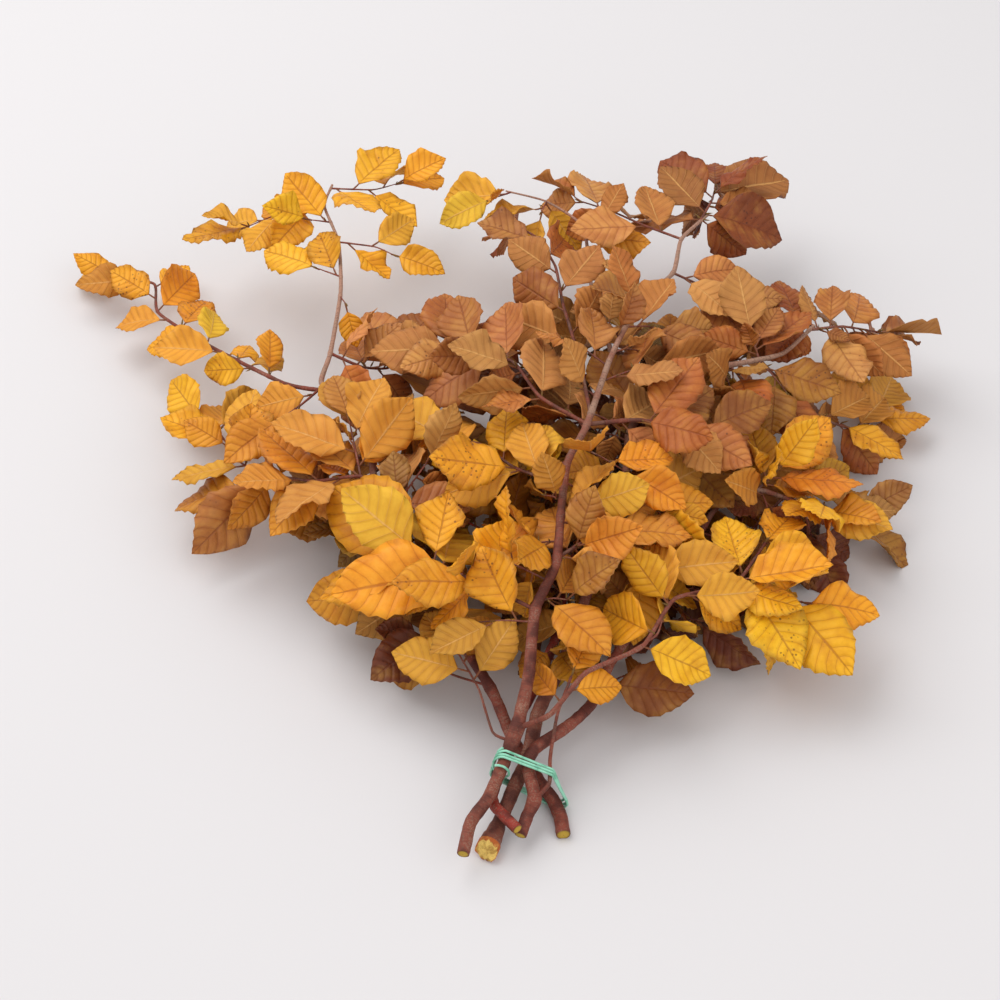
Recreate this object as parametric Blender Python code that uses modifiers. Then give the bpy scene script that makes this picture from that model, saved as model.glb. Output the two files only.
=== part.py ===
# A bunch of five cut beech branches in autumn leaf, held by one wound band and lying on a surface.
# Layout in millimetres: +X to the right, +Y from the cut ends to the leaf tips, +Z up, and the band
# near the zero point. The last step moves the flat resting spot to the origin and turns the
# millimetres into metres.
import bpy
import bmesh
import math
import random
from mathutils import Matrix, Vector
from mathutils.bvhtree import BVHTree
from mathutils.geometry import intersect_point_line

# Driving sizes, in millimetres
leafLength = 58.0
leafWidthRatio = 0.7
leafThickness = 0.8
petioleLength = 8.0
petioleWidth = 1.8
leafClearance = 0.6
stalkSkipped = 6.0
leafLengthSpread = 0.13
smallestShrink = 0.62
placingTries = 30
randomSeed = 12

stemSides = 1
thickTwig = 2.0
twigTipRatio = 0.62
bandRadius = 0.9
bandGap = 0.5
bandTurns = 3
bandPitch = 2.1
bandStart = 11.0
bandSlope = 0.3
bandPointsPerTurn = 20
bandAngle = math.radians(125)
sharpAngle = math.radians(50)
loopPoints = 16
loopDrop = 7.0
restSpot = (43.0, -25.0)

# Places along a leaf blade where the plain solid has a row of corners
bladeRows = (0.14, 0.46, 0.8)

# Each stem is a route of (x, y, z, radius) chosen by hand from its cut end to its tip, mostly on a
# grid of 5 mm outside the tied bundle. Each twig is (radius, number of leaves, their size against
# leafLength, bare share of the twig at its root, route), and its first point is moved to the middle
# of the stem or twig it grows from.
branches = {
    "centre_branch": {
        "stem": [
            (-25, -65, 26, 4.8), (-20, -40, 28, 5.0), (-8, -22, 32, 4.8), (4, 8, 38, 5.0),
            (12, 26, 50, 5.4), (20, 55, 70, 4.8), (25, 100, 90, 4.2), (40, 135, 100, 3.9),
            (45, 185, 110, 3.4), (50, 220, 120, 3.2), (65, 255, 125, 3.0), (85, 325, 130, 2.6),
            (110, 395, 125, 2.4), (140, 445, 115, 2.2), (150, 495, 110, 2.0), (175, 540, 100, 1.6),
        ],
        "twigs": {
            "fork": (1.9, 7, 0.95, 0.35, [(70, 265, 125), (60, 335, 125), (50, 400, 120),
                                          (45, 460, 110), (30, 510, 100), (15, 530, 95)]),
            "top": (1.5, 7, 1.1, 0.1, [(170, 525, 105), (180, 560, 100), (185, 585, 95)]),
            "top_left": (1.4, 6, 0.9, 0.2, [(150, 495, 110), (120, 520, 105), (95, 545, 100),
                                            (70, 565, 95)]),
            "upper_right": (1.4, 4, 0.9, 0.2, [(140, 445, 115), (165, 440, 105), (190, 445, 90)]),
            "upper_left": (1.3, 3, 1.0, 0.2, [(110, 395, 125), (90, 410, 120)]),
            "back_left": (1.9, 10, 0.95, 0.25, [(65, 255, 125), (30, 280, 130), (10, 325, 125),
                                                (-25, 350, 115), (-50, 370, 105)]),
            "left": (1.6, 6, 1.0, 0.2, [(45, 200, 115), (10, 230, 105), (-15, 260, 100),
                                        (-40, 275, 90)]),
            "lower_left": (1.8, 7, 1.25, 0.35, [(25, 100, 90), (-5, 120, 90), (-30, 140, 85),
                                               (-60, 165, 80)]),
            "front_right": (2.4, 7, 1.0, 0.6, [(10, 25, 50), (35, 25, 65), (60, 50, 80),
                                               (100, 70, 85), (125, 115, 85), (170, 135, 80),
                                               (195, 175, 80)]),
            "front_low": (1.3, 3, 0.95, 0.3, [(90, 65, 85), (110, 80, 85), (115, 95, 85)]),
            "front_far": (1.4, 5, 1.0, 0.2, [(170, 135, 80), (200, 130, 70), (220, 130, 65)]),
            "middle_stub": (1.2, 3, 0.9, 0.2, [(45, 175, 110), (60, 180, 115)]),
            "right_low": (1.7, 4, 0.95, 0.3, [(40, 140, 100), (70, 165, 100), (90, 180, 95)]),
            "right": (2.2, 5, 1.0, 0.3, [(65, 255, 125), (105, 265, 120), (155, 270, 105)]),
            "low_thin": (1.5, 4, 0.75, 0.72, [(8, 18, 44), (-5, 25, 45), (-15, 60, 50),
                                              (-30, 90, 55)]),
        },
    },
    "right_branch": {
        "stem": [
            (-8, -46, 8.6, 8.2), (-5, -38, 8.6, 7.8), (-1, -28, 10, 5.8), (4, -16, 13, 5.6),
            (13, 5, 19, 5.8), (19, 18, 21, 5.8), (27, 55, 30, 5.6), (40, 80, 40, 5.0),
            (55, 115, 50, 4.6), (70, 165, 65, 4.2), (90, 210, 75, 3.8), (95, 240, 85, 3.6),
            (100, 285, 90, 3.4), (120, 325, 95, 3.2), (140, 345, 95, 3.0), (180, 355, 95, 2.6),
            (225, 380, 85, 2.2), (255, 420, 80, 1.8),
        ],
        "twigs": {
            "tip_left": (1.5, 5, 0.8, 0.1, [(255, 420, 80), (235, 430, 80), (215, 430, 80)]),
            "tip_right": (1.6, 8, 0.85, 0.15, [(250, 415, 80), (280, 425, 75), (310, 430, 65)]),
            "right_low": (1.6, 8, 0.9, 0.25, [(205, 370, 90), (250, 335, 60), (290, 345, 35),
                                              (310, 385, 20)]),
            "middle_up": (1.4, 4, 0.8, 0.2, [(205, 370, 90), (200, 385, 100)]),
            "middle_low": (1.3, 3, 0.9, 0.2, [(180, 355, 95), (195, 345, 85)]),
            "inner_gold": (1.5, 4, 0.9, 0.2, [(90, 220, 80), (115, 200, 90)]),
            "low_gold": (1.6, 5, 0.9, 0.4, [(75, 175, 65), (90, 160, 75), (110, 140, 80),
                                            (120, 155, 85)]),
            "under_right": (1.6, 6, 0.95, 0.3, [(100, 280, 90), (145, 280, 70), (190, 285, 55)]),
        },
    },
    "left_branch": {
        "stem": [
            (44, -33, 4.6, 5.6), (42, -17, 4.6, 5.6), (37, -5, 8, 5.4), (28, 8, 9.5, 5.4),
            (21, 24, 9, 5.2), (8, 47, 14, 4.8), (-2, 67, 28, 4.6), (-10, 80, 36, 4.4),
            (-30, 110, 50, 4.2), (-45, 145, 60, 3.8), (-65, 170, 65, 3.6), (-75, 200, 70, 3.4),
            (-95, 245, 75, 3.2), (-100, 280, 80, 3.0), (-120, 320, 85, 2.8), (-140, 340, 90, 2.6),
            (-135, 375, 90, 2.2), (-130, 445, 95, 2.0), (-135, 510, 95, 1.7),
            (-150, 565, 90, 1.5), (-145, 595, 90, 1.3),
        ],
        "twigs": {
            "top_right": (1.1, 5, 0.85, 0.1, [(-145, 590, 90), (-110, 595, 85), (-90, 610, 80)]),
            "top_left": (1.1, 5, 0.75, 0.2, [(-150, 565, 90), (-190, 560, 85), (-215, 550, 80)]),
            "side_leaves": (1.1, 2, 0.8, 0.2, [(-130, 465, 95), (-150, 475, 95)]),
            "side_upper": (1.1, 2, 0.8, 0.2, [(-145, 540, 95), (-160, 540, 95)]),
            "right_thin": (1.1, 3, 0.7, 0.2, [(-135, 510, 95), (-105, 510, 90), (-90, 500, 90)]),
            "stem_leaf": (1.1, 1, 0.5, 0.2, [(-130, 440, 95), (-125, 425, 100)]),
            "far_left": (2.2, 13, 0.72, 0.2, [(-135, 330, 85), (-170, 350, 80), (-240, 425, 55),
                                              (-290, 490, 35), (-300, 540, 25), (-335, 555, 20)]),
            "mid_left": (1.4, 3, 0.9, 0.2, [(-140, 340, 85), (-155, 320, 85), (-170, 310, 80)]),
            "inner_left": (1.9, 8, 0.95, 0.3, [(-75, 190, 70), (-85, 220, 80), (-105, 240, 85),
                                               (-140, 240, 80), (-170, 255, 70), (-195, 255, 60)]),
            "twin_left": (1.3, 5, 0.95, 0.3, [(-170, 255, 70), (-200, 280, 60), (-225, 330, 50),
                                              (-240, 350, 40)]),
            "tall_twig": (1.3, 4, 0.9, 0.2, [(-105, 240, 85), (-115, 285, 100)]),
            "right_tan": (1.3, 4, 0.9, 0.2, [(-80, 210, 75), (-70, 225, 85), (-55, 245, 95)]),
            "low_olive": (1.3, 5, 0.75, 0.3, [(-70, 190, 65), (-100, 225, 55), (-135, 250, 40)]),
            "low_thin": (1.3, 3, 0.75, 0.5, [(-10, 75, 35), (-40, 90, 35), (-70, 130, 30)]),
            "mid_right": (1.7, 6, 1.0, 0.2, [(-100, 280, 80), (-80, 300, 75), (-50, 325, 70),
                                             (-35, 350, 65)]),
            "upper_mid": (1.6, 7, 1.0, 0.15, [(-135, 375, 90), (-110, 370, 80), (-90, 380, 70),
                                              (-80, 400, 70)]),
        },
    },
    "middle_branch": {
        "stem": [
            (12, -43, 24, 4.3), (2, -30, 23.5, 4.4), (-3.5, -22, 22.5, 4.4), (-5.5, -14, 21.5, 4.4),
            (-4, -5, 21, 4.5), (-1, 6, 20.5, 4.5), (4, 20, 20, 4.5), (7, 36, 23, 4.4),
            (14, 55, 27.5, 4.2), (24, 76, 29, 4.0), (40, 120, 35, 3.7), (50, 175, 40, 3.4),
            (65, 230, 50, 3.0), (80, 285, 60, 2.7), (90, 360, 75, 2.2), (85, 420, 85, 2.0),
            (75, 460, 90, 1.9), (70, 530, 95, 1.6), (40, 565, 95, 1.2), (5, 580, 95, 1.0),
        ],
        "twigs": {
            "top_brown": (1.1, 2, 0.8, 0.2, [(70, 515, 95), (85, 530, 100)]),
            "top_gold": (1.1, 3, 0.9, 0.2, [(40, 565, 95), (35, 545, 100)]),
            "tip": (1.1, 3, 0.8, 0.1, [(10, 580, 95), (-5, 570, 95)]),
            "mid_gold": (1.2, 2, 0.85, 0.2, [(85, 415, 85), (75, 430, 90)]),
            "left_small": (1.2, 3, 0.8, 0.2, [(85, 395, 80), (70, 405, 85)]),
            "red_left": (1.5, 6, 0.95, 0.2, [(85, 325, 70), (55, 315, 70), (30, 340, 65)]),
            "gold_left": (1.7, 7, 1.0, 0.2, [(65, 240, 50), (30, 250, 60), (-20, 270, 70)]),
            "low_left": (1.7, 7, 0.95, 0.2, [(50, 185, 40), (20, 195, 50), (-30, 225, 55)]),
            "brown_right": (1.6, 6, 1.0, 0.2, [(80, 280, 60), (115, 300, 55), (145, 330, 50)]),
            "upper_right": (1.6, 6, 0.95, 0.2, [(90, 350, 75), (120, 385, 70), (150, 405, 65)]),
            "upper_left": (1.5, 5, 1.0, 0.2, [(90, 360, 75), (50, 370, 75), (20, 380, 70)]),
            "low_middle": (1.6, 4, 0.9, 0.3, [(45, 140, 35), (45, 160, 50), (55, 170, 55)]),
            "low_front": (1.5, 3, 0.6, 0.3, [(35, 110, 35), (40, 100, 50)]),
        },
    },
    "lower_right_branch": {
        "stem": [
            (14, -40, 13, 4.8), (19, -26, 17, 5.0), (24, -16, 24, 5.2), (19, 7, 33, 5.0),
            (24, 17, 36, 4.9), (33, 24, 38, 4.8), (48, 35, 40, 4.6), (65, 55, 40, 4.4),
            (80, 90, 45, 3.9), (105, 130, 50, 3.4), (140, 185, 55, 3.0), (160, 225, 60, 2.7),
            (175, 245, 60, 2.6), (200, 245, 65, 2.3), (230, 235, 60, 1.8), (250, 240, 45, 1.5),
            (265, 255, 35, 1.3),
        ],
        "twigs": {
            "knuckle": (2.1, 3, 0.6, 0.8, [(23, -18, 23), (34, -10, 32), (35, 9, 37), (40, 32, 56),
                                           (50, 55, 70)]),
            "right_tip": (1.2, 3, 0.9, 0.1, [(260, 250, 40), (280, 260, 25)]),
            "upright": (1.2, 3, 0.95, 0.2, [(245, 240, 50), (245, 230, 65)]),
            "hub": (1.4, 5, 1.0, 0.2, [(195, 245, 65), (210, 255, 75)]),
            "under": (1.5, 5, 0.95, 0.3, [(215, 240, 60), (190, 225, 40), (175, 220, 30)]),
            "under_far": (1.5, 4, 0.9, 0.3, [(230, 235, 60), (240, 225, 30)]),
            "low_dark": (1.5, 4, 0.95, 0.2, [(120, 155, 50), (150, 170, 35), (170, 175, 20)]),
            "low_brown": (1.4, 2, 0.9, 0.3, [(70, 70, 40), (90, 90, 30)]),
            "mid_dark": (1.5, 4, 0.95, 0.2, [(105, 130, 50), (85, 160, 45), (75, 180, 40)]),
        },
    },
}

# Colours of the bark and of the leaves of each branch
colours = {
    "centre_branch": ((0.16, 0.09, 0.05), (0.42, 0.19, 0.05)),
    "right_branch": ((0.15, 0.085, 0.055), (0.45, 0.20, 0.05)),
    "left_branch": ((0.17, 0.10, 0.06), (0.60, 0.32, 0.06)),
    "middle_branch": ((0.14, 0.08, 0.05), (0.50, 0.22, 0.05)),
    "lower_right_branch": ((0.15, 0.08, 0.05), (0.45, 0.18, 0.04)),
}


def plainMaterial(name, colour, roughness):
    material = bpy.data.materials.new(name)
    material.use_nodes = True
    shader = material.node_tree.nodes["Principled BSDF"]
    shader.inputs["Base Color"].default_value = (*colour, 1.0)
    shader.inputs["Roughness"].default_value = roughness
    material.diffuse_color = (*colour, 1.0)
    return material


# A leaf is an open sheet that Solidify gives its thickness, the same triangles on both faces
def leafObject(name, leaf, collection, material):
    corners, triangles = leafSheet(leaf)
    mesh = bpy.data.meshes.new(name)
    mesh.from_pydata([tuple(corner) for corner in corners], [], triangles)
    mesh.update()
    mesh.materials.append(material)
    made = bpy.data.objects.new(name, mesh)
    collection.objects.link(made)
    wall = made.modifiers.new("thickness", "SOLIDIFY")
    wall.thickness = leafThickness
    wall.offset = 0.0
    return made


# A round stick along a route of (x, y, z, radius), as a plain mesh with closed ends
def stick(name, route, sides, collection, closed=False):
    curve = bpy.data.curves.new(name, "CURVE")
    curve.dimensions = "3D"
    curve.bevel_depth = 1.0
    curve.bevel_resolution = sides
    curve.use_fill_caps = True
    spline = curve.splines.new("POLY")
    spline.points.add(len(route) - 1)
    for point, (x, y, z, radius) in zip(spline.points, route):
        point.co = (x, y, z, 1.0)
        point.radius = radius
    spline.use_cyclic_u = closed
    helper = bpy.data.objects.new(name + "_curve", curve)
    bpy.context.scene.collection.objects.link(helper)
    bpy.context.view_layer.update()
    mesh = bpy.data.meshes.new_from_object(helper.evaluated_get(bpy.context.evaluated_depsgraph_get()))
    bpy.data.objects.remove(helper)
    bpy.data.curves.remove(curve)
    work = bmesh.new()
    work.from_mesh(mesh)
    bmesh.ops.remove_doubles(work, verts=work.verts, dist=0.0001)
    bmesh.ops.recalc_face_normals(work, faces=work.faces)
    work.to_mesh(mesh)
    work.free()
    made = bpy.data.objects.new(name, mesh)
    collection.objects.link(made)
    return made


def routeVectors(points):
    return [Vector(point[:3]) for point in points]


# The nearest place to a point on the middle line of any of the routes that could carry it
def nearestPlace(point, carriers):
    best = None
    for route in carriers:
        for start, end in zip(route, route[1:]):
            foot, share = intersect_point_line(point, start, end)
            foot = start.lerp(end, max(0.0, min(1.0, share)))
            if best is None or (foot - point).length < (best - point).length:
                best = foot
    return best


# The middle line of every twig of a branch, each rooted in the stem or in a twig before it
def twigLines(branch):
    carriers = [routeVectors(branch["stem"])]
    lines = {}
    for name, (radius, leafCount, size, bare, points) in branch["twigs"].items():
        line = routeVectors(points)
        line[0] = nearestPlace(line[0], carriers)
        carriers.append(line)
        lines[name] = line
    return lines


def tapered(line, radius):
    last = len(line) - 1
    return [(*point, radius * (1 - (1 - twigTipRatio) * index / last)) for index, point in enumerate(line)]


# The place and the direction at a distance along a route
def along(points, distance):
    for start, end in zip(points, points[1:]):
        span = (end - start).length
        if distance <= span or end is points[-1]:
            step = (end - start).normalized()
            return start + step * min(distance, span), step
        distance -= span
    return points[-1], (points[-1] - points[-2]).normalized()


def routeLength(points):
    return sum((end - start).length for start, end in zip(points, points[1:]))


# Half the blade's width at a place along it, from 0 at the base to 1 at the tip
def bladeOutline(place):
    return math.sin(math.pi * place ** 0.95) ** (0.68 + 0.25 * place) if 0 < place < 1 else 0.0


# A point of a leaf's middle surface. Place runs along the midrib and side across it, from -1 to 1
def leafPoint(leaf, place, side):
    length = leaf["length"]
    half = 0.5 * leafWidthRatio * length * bladeOutline(place)
    across = side * max(half, 0.5 * petioleWidth * (1 - place))
    reach = petioleLength + length * place * (1 - 0.10 * abs(leaf["bend"]) * place)
    wave = leaf["wave"] * math.sin(leaf["waves"] * math.pi * place + leaf["phase"] + 1.3 * side)
    lift = leaf["fold"] * abs(across) - leaf["curl"] * across * across / length
    lift += wave * side * side * bladeOutline(place)
    lift -= leaf["bend"] * length * 0.5 * place * place
    turn = leaf["twist"] * place
    sideways = across * math.cos(turn)
    lift += across * math.sin(turn)
    point = leaf["root"] + leaf["ahead"] * reach + leaf["right"] * sideways + leaf["up"] * lift
    return Vector((point.x, point.y, max(point.z, 0.5)))


# Corners and matching triangles of the plain leaf's middle surface. The stalk and the blade's base
# are one wedge from the root, which starts further out by skipped when clearances are tried
def leafSheet(leaf, grow=0.0, skipped=0.0):
    wider = 1 + grow * 0.05
    first, middle, last = bladeRows
    corners = [leaf["root"] + leaf["ahead"] * skipped]
    corners += [leafPoint(leaf, first, side * wider) for side in (-1, 1)]
    corners += [leafPoint(leaf, middle, side * wider) for side in (-1, 0, 1)]
    corners += [leafPoint(leaf, last, side * wider) for side in (-1, 1)]
    corners.append(leafPoint(leaf, 1.0 + grow * 0.02, 0))
    triangles = [(0, 2, 1), (1, 2, 4), (1, 4, 3), (2, 5, 4), (3, 4, 6), (4, 7, 6), (4, 5, 7), (6, 7, 8)]
    return corners, triangles


# Both faces of a leaf and the rim between them, for trying its clearance
def leafSolid(leaf, thickness, grow=0.0, skipped=0.0):
    corners, triangles = leafSheet(leaf, grow, skipped)
    normals = [Vector((0, 0, 0)) for corner in corners]
    for a, b, c in triangles:
        facing = (corners[b] - corners[a]).cross(corners[c] - corners[a])
        for index in (a, b, c):
            normals[index] += facing
    count = len(corners)
    top = [corner + normal.normalized() * thickness / 2 for corner, normal in zip(corners, normals)]
    bottom = [corner - normal.normalized() * thickness / 2 for corner, normal in zip(corners, normals)]
    faces = list(triangles) + [(c + count, b + count, a + count) for a, b, c in triangles]
    edges = {(a, b) for t in triangles for a, b in zip(t, (t[1], t[2], t[0]))}
    for a, b in sorted(edges):
        if (b, a) not in edges:
            faces += [(b, a, a + count), (b, a + count, b + count)]
    return top + bottom, faces


class Clearance:
    # Keeps what has been placed so far, each with its box, its tree and the node it belongs to
    def __init__(self):
        self.placed = []

    def add(self, corners, faces, node):
        low = [min(corner[axis] for corner in corners) for axis in range(3)]
        high = [max(corner[axis] for corner in corners) for axis in range(3)]
        tree = BVHTree.FromPolygons([tuple(corner) for corner in corners], faces)
        self.placed.append((low, high, tree, node))

    def free(self, corners, faces, ownNode=None):
        low = [min(corner[axis] for corner in corners) for axis in range(3)]
        high = [max(corner[axis] for corner in corners) for axis in range(3)]
        tree = None
        for other in self.placed:
            if other[3] == ownNode:
                continue
            if any(low[axis] > other[1][axis] or high[axis] < other[0][axis] for axis in range(3)):
                continue
            tree = tree or BVHTree.FromPolygons([tuple(corner) for corner in corners], faces)
            if tree.overlap(other[2]):
                return False
        return True


# The leaf that a twig would carry at one place, before it is tried against its neighbours
def draftLeaf(draw, root, step, yaw, size, attempt):
    loose = 1 + 0.12 * attempt
    shrink = max(smallestShrink, 1 - 0.018 * attempt)
    flat = Vector((step.x, step.y, 0.35 * step.z)).normalized()
    ahead = Matrix.Rotation(math.radians(yaw + draw.gauss(0, 7) * loose), 3, "Z") @ flat
    pitch = math.radians(draw.gauss(-6, 13) * loose)
    ahead = Vector((ahead.x * math.cos(pitch), ahead.y * math.cos(pitch), ahead.z + math.sin(pitch)))
    ahead.normalize()
    face = Vector((0, -0.35, 0.94))
    right = ahead.cross(face).normalized()
    roll = Matrix.Rotation(math.radians(draw.gauss(0, 20) * loose), 3, ahead)
    right = roll @ right
    return {
        "root": root,
        "ahead": ahead,
        "right": right,
        "up": right.cross(ahead),
        "length": leafLength * size * (1 + draw.gauss(0, leafLengthSpread)) * shrink,
        "bend": draw.uniform(-0.15, 0.45),
        "fold": draw.uniform(0.05, 0.45),
        "curl": draw.uniform(-0.5, 1.2),
        "wave": draw.uniform(1.5, 4.2),
        "waves": draw.uniform(2.0, 4.0),
        "phase": draw.uniform(0, 6.28),
        "twist": draw.uniform(-0.45, 0.45),
    }


# Leaves stand to the left and right in turn along a twig, with one at its end. Where they stand
# close together they fan out further
def twigLeaves(draw, node, points, count, size, bare, clearance):
    length = routeLength(points)
    kept = []
    gap = (1 - bare) * length / max(count - 1, 1)
    fan = max(0.0, 1 - gap / 16) * 16
    side = draw.choice((-1, 1))
    for index in range(count):
        place = max(length - 1.2 - gap * index, 3.5)
        root, step = along(points, place)
        side = -side
        yaw = side * (42 + fan * index * 0.9) if index else 0
        yaw = max(-125, min(125, yaw))
        for attempt in range(placingTries):
            leaf = draftLeaf(draw, root, step, yaw, size, attempt)
            thick = leafThickness + 2 * leafClearance
            if not clearance.free(*leafSolid(leaf, thick, 0.6, stalkSkipped)):
                continue
            if not clearance.free(*leafSolid(leaf, thick, 0.6), node):
                continue
            corners, faces = leafSolid(leaf, leafThickness)
            clearance.add(corners, faces, node)
            kept.append(leaf)
            break
    return kept


# Joins everything in a collection to one solid, and removes the loose pieces
def fused(name, collection, base):
    joined = base.modifiers.new("union", "BOOLEAN")
    joined.operation = "UNION"
    joined.operand_type = "COLLECTION"
    joined.collection = collection
    joined.solver = "EXACT"
    joined.material_mode = "TRANSFER"
    bpy.context.view_layer.update()
    shape = bpy.data.meshes.new_from_object(base.evaluated_get(bpy.context.evaluated_depsgraph_get()))
    for piece in list(collection.objects):
        bpy.data.objects.remove(piece)
    bpy.data.collections.remove(collection)
    bpy.data.objects.remove(base)
    made = bpy.data.objects.new(name, shape)
    bpy.context.scene.collection.objects.link(made)
    return made


def tidyMesh(mesh):
    work = bmesh.new()
    work.from_mesh(mesh)
    bmesh.ops.remove_doubles(work, verts=work.verts, dist=0.0001)
    bmesh.ops.dissolve_degenerate(work, edges=work.edges, dist=0.0001)
    bmesh.ops.dissolve_limit(work, angle_limit=0.004, verts=work.verts, edges=work.edges,
                             delimit={"MATERIAL"})
    bmesh.ops.triangulate(work, faces=work.faces)
    work.to_mesh(mesh)
    work.free()


# How far up the bunch a point is, measured square to the band, which slopes down to the right
def bandHeight(point):
    return point[1] + bandSlope * point[0]


# Where a stem or twig passes through the band's slanted plane at one height
def crossing(points, height):
    for start, end in zip(points, points[1:]):
        if bandHeight(start) <= height <= bandHeight(end):
            share = (height - bandHeight(start)) / (bandHeight(end) - bandHeight(start))
            centre = Vector(start[:3]).lerp(Vector(end[:3]), share)
            step = (Vector(end[:3]) - Vector(start[:3])).normalized()
            return centre, step, start[3] + share * (end[3] - start[3])
    return None


def crossingRing(points, height, extra):
    found = crossing(points, height)
    if not found:
        return []
    centre, step, radius = found
    across = step.cross(Vector((0, 0, 1))).normalized()
    over = across.cross(step)
    ring = []
    for part in range(24):
        angle = math.tau * part / 24
        spot = centre + (across * math.cos(angle) + over * math.sin(angle)) * (radius + extra)
        spot -= step * ((bandHeight(spot) - height) / bandHeight(step))
        ring.append((spot.x, spot.z))
    return ring


# The outermost of a set of flat points in one direction, where a tight band would bend
def outermost(spots, angle):
    return max(spots, key=lambda spot: spot[0] * math.cos(angle) + spot[1] * math.sin(angle))


# The band is wound round all the stems, then once more round the centre branch's stem alone
def bandRoute():
    held = [branch["stem"] for branch in branches.values()]
    knuckleRadius = branches["lower_right_branch"]["twigs"]["knuckle"][0]
    held.append(tapered(twigLines(branches["lower_right_branch"])["knuckle"], knuckleRadius))
    reach = bandGap + bandRadius
    route = []

    def addPoint(stems, height, angle):
        spots = []
        for stem in stems:
            for near in (height - bandRadius, height, height + bandRadius):
                spots += crossingRing(stem, near, reach)
        x, z = outermost(spots, angle)
        spot = (x, height - bandSlope * x, max(z, bandRadius + 0.05), bandRadius)
        if not route or (Vector(route[-1][:3]) - Vector(spot[:3])).length > 0.3:
            route.append(spot)

    for index in range(bandTurns * bandPointsPerTurn + 1):
        turns = index / bandPointsPerTurn
        addPoint(held, bandStart - bandPitch * turns, bandAngle + math.tau * turns)
    last = bandHeight(route[-1])
    for index in range(1, loopPoints + 1):
        turns = index / loopPoints
        addPoint(held[:1], last - loopDrop * min(1, turns * 2), bandAngle + math.tau * turns)
    return route


def build():
    for old in list(bpy.data.objects):
        bpy.data.objects.remove(old, do_unlink=True)
    clearance = Clearance()
    root = bpy.context.scene.collection
    lines = {node: twigLines(branch) for node, branch in branches.items()}
    sticks = {}
    leafMaterials = {}
    for node, branch in branches.items():
        group = bpy.data.collections.new(node + "_pieces")
        root.children.link(group)
        sticks[node] = group
        trunk = stick(node + "_stem", branch["stem"], stemSides, root)
        for corner in trunk.data.vertices:
            corner.co.z = max(corner.co.z, 0.0)
        sticks[node + "_trunk"] = trunk
        pieces = [trunk]
        for name, line in lines[node].items():
            radius = branch["twigs"][name][0]
            sides = 1 if radius > thickTwig else 0
            pieces.append(stick(node + "_" + name, tapered(line, radius), sides, group))
        bark, leafColour = colours[node]
        barkMaterial = plainMaterial(node + "_bark", bark, 0.7)
        leafMaterials[node] = plainMaterial(node + "_leaves", leafColour, 0.55)
        for piece in pieces:
            piece.data.materials.append(barkMaterial)
            corners = [corner.co.copy() for corner in piece.data.vertices]
            faces = [tuple(face.vertices) for face in piece.data.polygons]
            clearance.add(corners, faces, node)
    band = stick("tie", bandRoute(), 0, root)
    clearance.add([corner.co.copy() for corner in band.data.vertices],
                  [tuple(face.vertices) for face in band.data.polygons], "tie")

    draw = random.Random(randomSeed)
    total = 0
    for node, branch in branches.items():
        for name, (radius, leafCount, size, bare, points) in branch["twigs"].items():
            kept = twigLeaves(draw, node, lines[node][name], leafCount, size, bare, clearance)
            for leaf in kept:
                leafObject(node + "_leaf", leaf, sticks[node], leafMaterials[node])
            total += len(kept)
    print("leaves", total)

    turnToMetres = Matrix.Scale(0.001, 4) @ Matrix.Translation((-restSpot[0], -restSpot[1], 0))
    whole = bpy.data.collections.new("beech_leaf")
    root.children.link(whole)
    made = [fused(node, sticks[node], sticks[node + "_trunk"]) for node in branches]
    band.data.materials.append(plainMaterial("tie_green", (0.35, 0.62, 0.50), 0.45))
    for piece in made + [band]:
        tidyMesh(piece.data)
        piece.data.transform(turnToMetres)
        piece.data.shade_smooth()
        piece.data.set_sharp_from_angle(angle=sharpAngle)
        piece.data.update()
        root.objects.unlink(piece)
        whole.objects.link(piece)
        print(piece.name, len(piece.data.polygons))


build()
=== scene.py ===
import bpy
import bmesh
import math
import random
from mathutils import Matrix, Vector
from mathutils.bvhtree import BVHTree
from mathutils.geometry import intersect_point_line


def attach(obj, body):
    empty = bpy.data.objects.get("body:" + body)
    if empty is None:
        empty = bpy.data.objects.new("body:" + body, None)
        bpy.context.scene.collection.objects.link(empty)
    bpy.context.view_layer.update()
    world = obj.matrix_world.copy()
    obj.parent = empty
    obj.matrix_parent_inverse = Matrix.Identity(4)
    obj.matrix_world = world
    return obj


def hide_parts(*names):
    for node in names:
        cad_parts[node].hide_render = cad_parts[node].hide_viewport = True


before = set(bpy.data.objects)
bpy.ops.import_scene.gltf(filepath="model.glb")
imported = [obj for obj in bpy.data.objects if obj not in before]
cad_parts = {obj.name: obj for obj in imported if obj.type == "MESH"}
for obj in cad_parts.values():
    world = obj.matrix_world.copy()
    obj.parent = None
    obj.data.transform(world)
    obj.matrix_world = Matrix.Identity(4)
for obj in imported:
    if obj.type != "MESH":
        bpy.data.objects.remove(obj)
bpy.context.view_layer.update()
print("frame loaded:", sorted(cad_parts))

# The layout below is the solids' own, in millimetres: +X right, +Y to the tips, +Z up, band near zero
leafLength = 58.0
leafWidthRatio = 0.7
leafThickness = 0.8
petioleLength = 8.0
petioleWidth = 1.8
leafClearance = 0.6
stalkSkipped = 6.0
leafLengthSpread = 0.13
placingTries = 30

# With each try a leaf may turn further from its rule and is made a little smaller
loosenedByTry = 0.12
shrunkByTry = 0.018
smallestShrink = 0.62

# Degrees: a leaf's turn to the side and how it varies, its tilt as a mean and a spread, and its
# roll. Its face looks up and a little to the cut ends
leafTurn = 42.0
widestTurn = 125.0
turnSpread = 7.0
leafTilt = (-6.0, 13.0)
rollSpread = 20.0
leafFacing = Vector((0, -0.35, 0.94))

# mm along a twig: below fanSpacing leaves fan out, and the ends of the twig that stay without one
fanSpacing = 16.0
lastLeafInset = 1.2
firstLeafInset = 3.5

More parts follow.
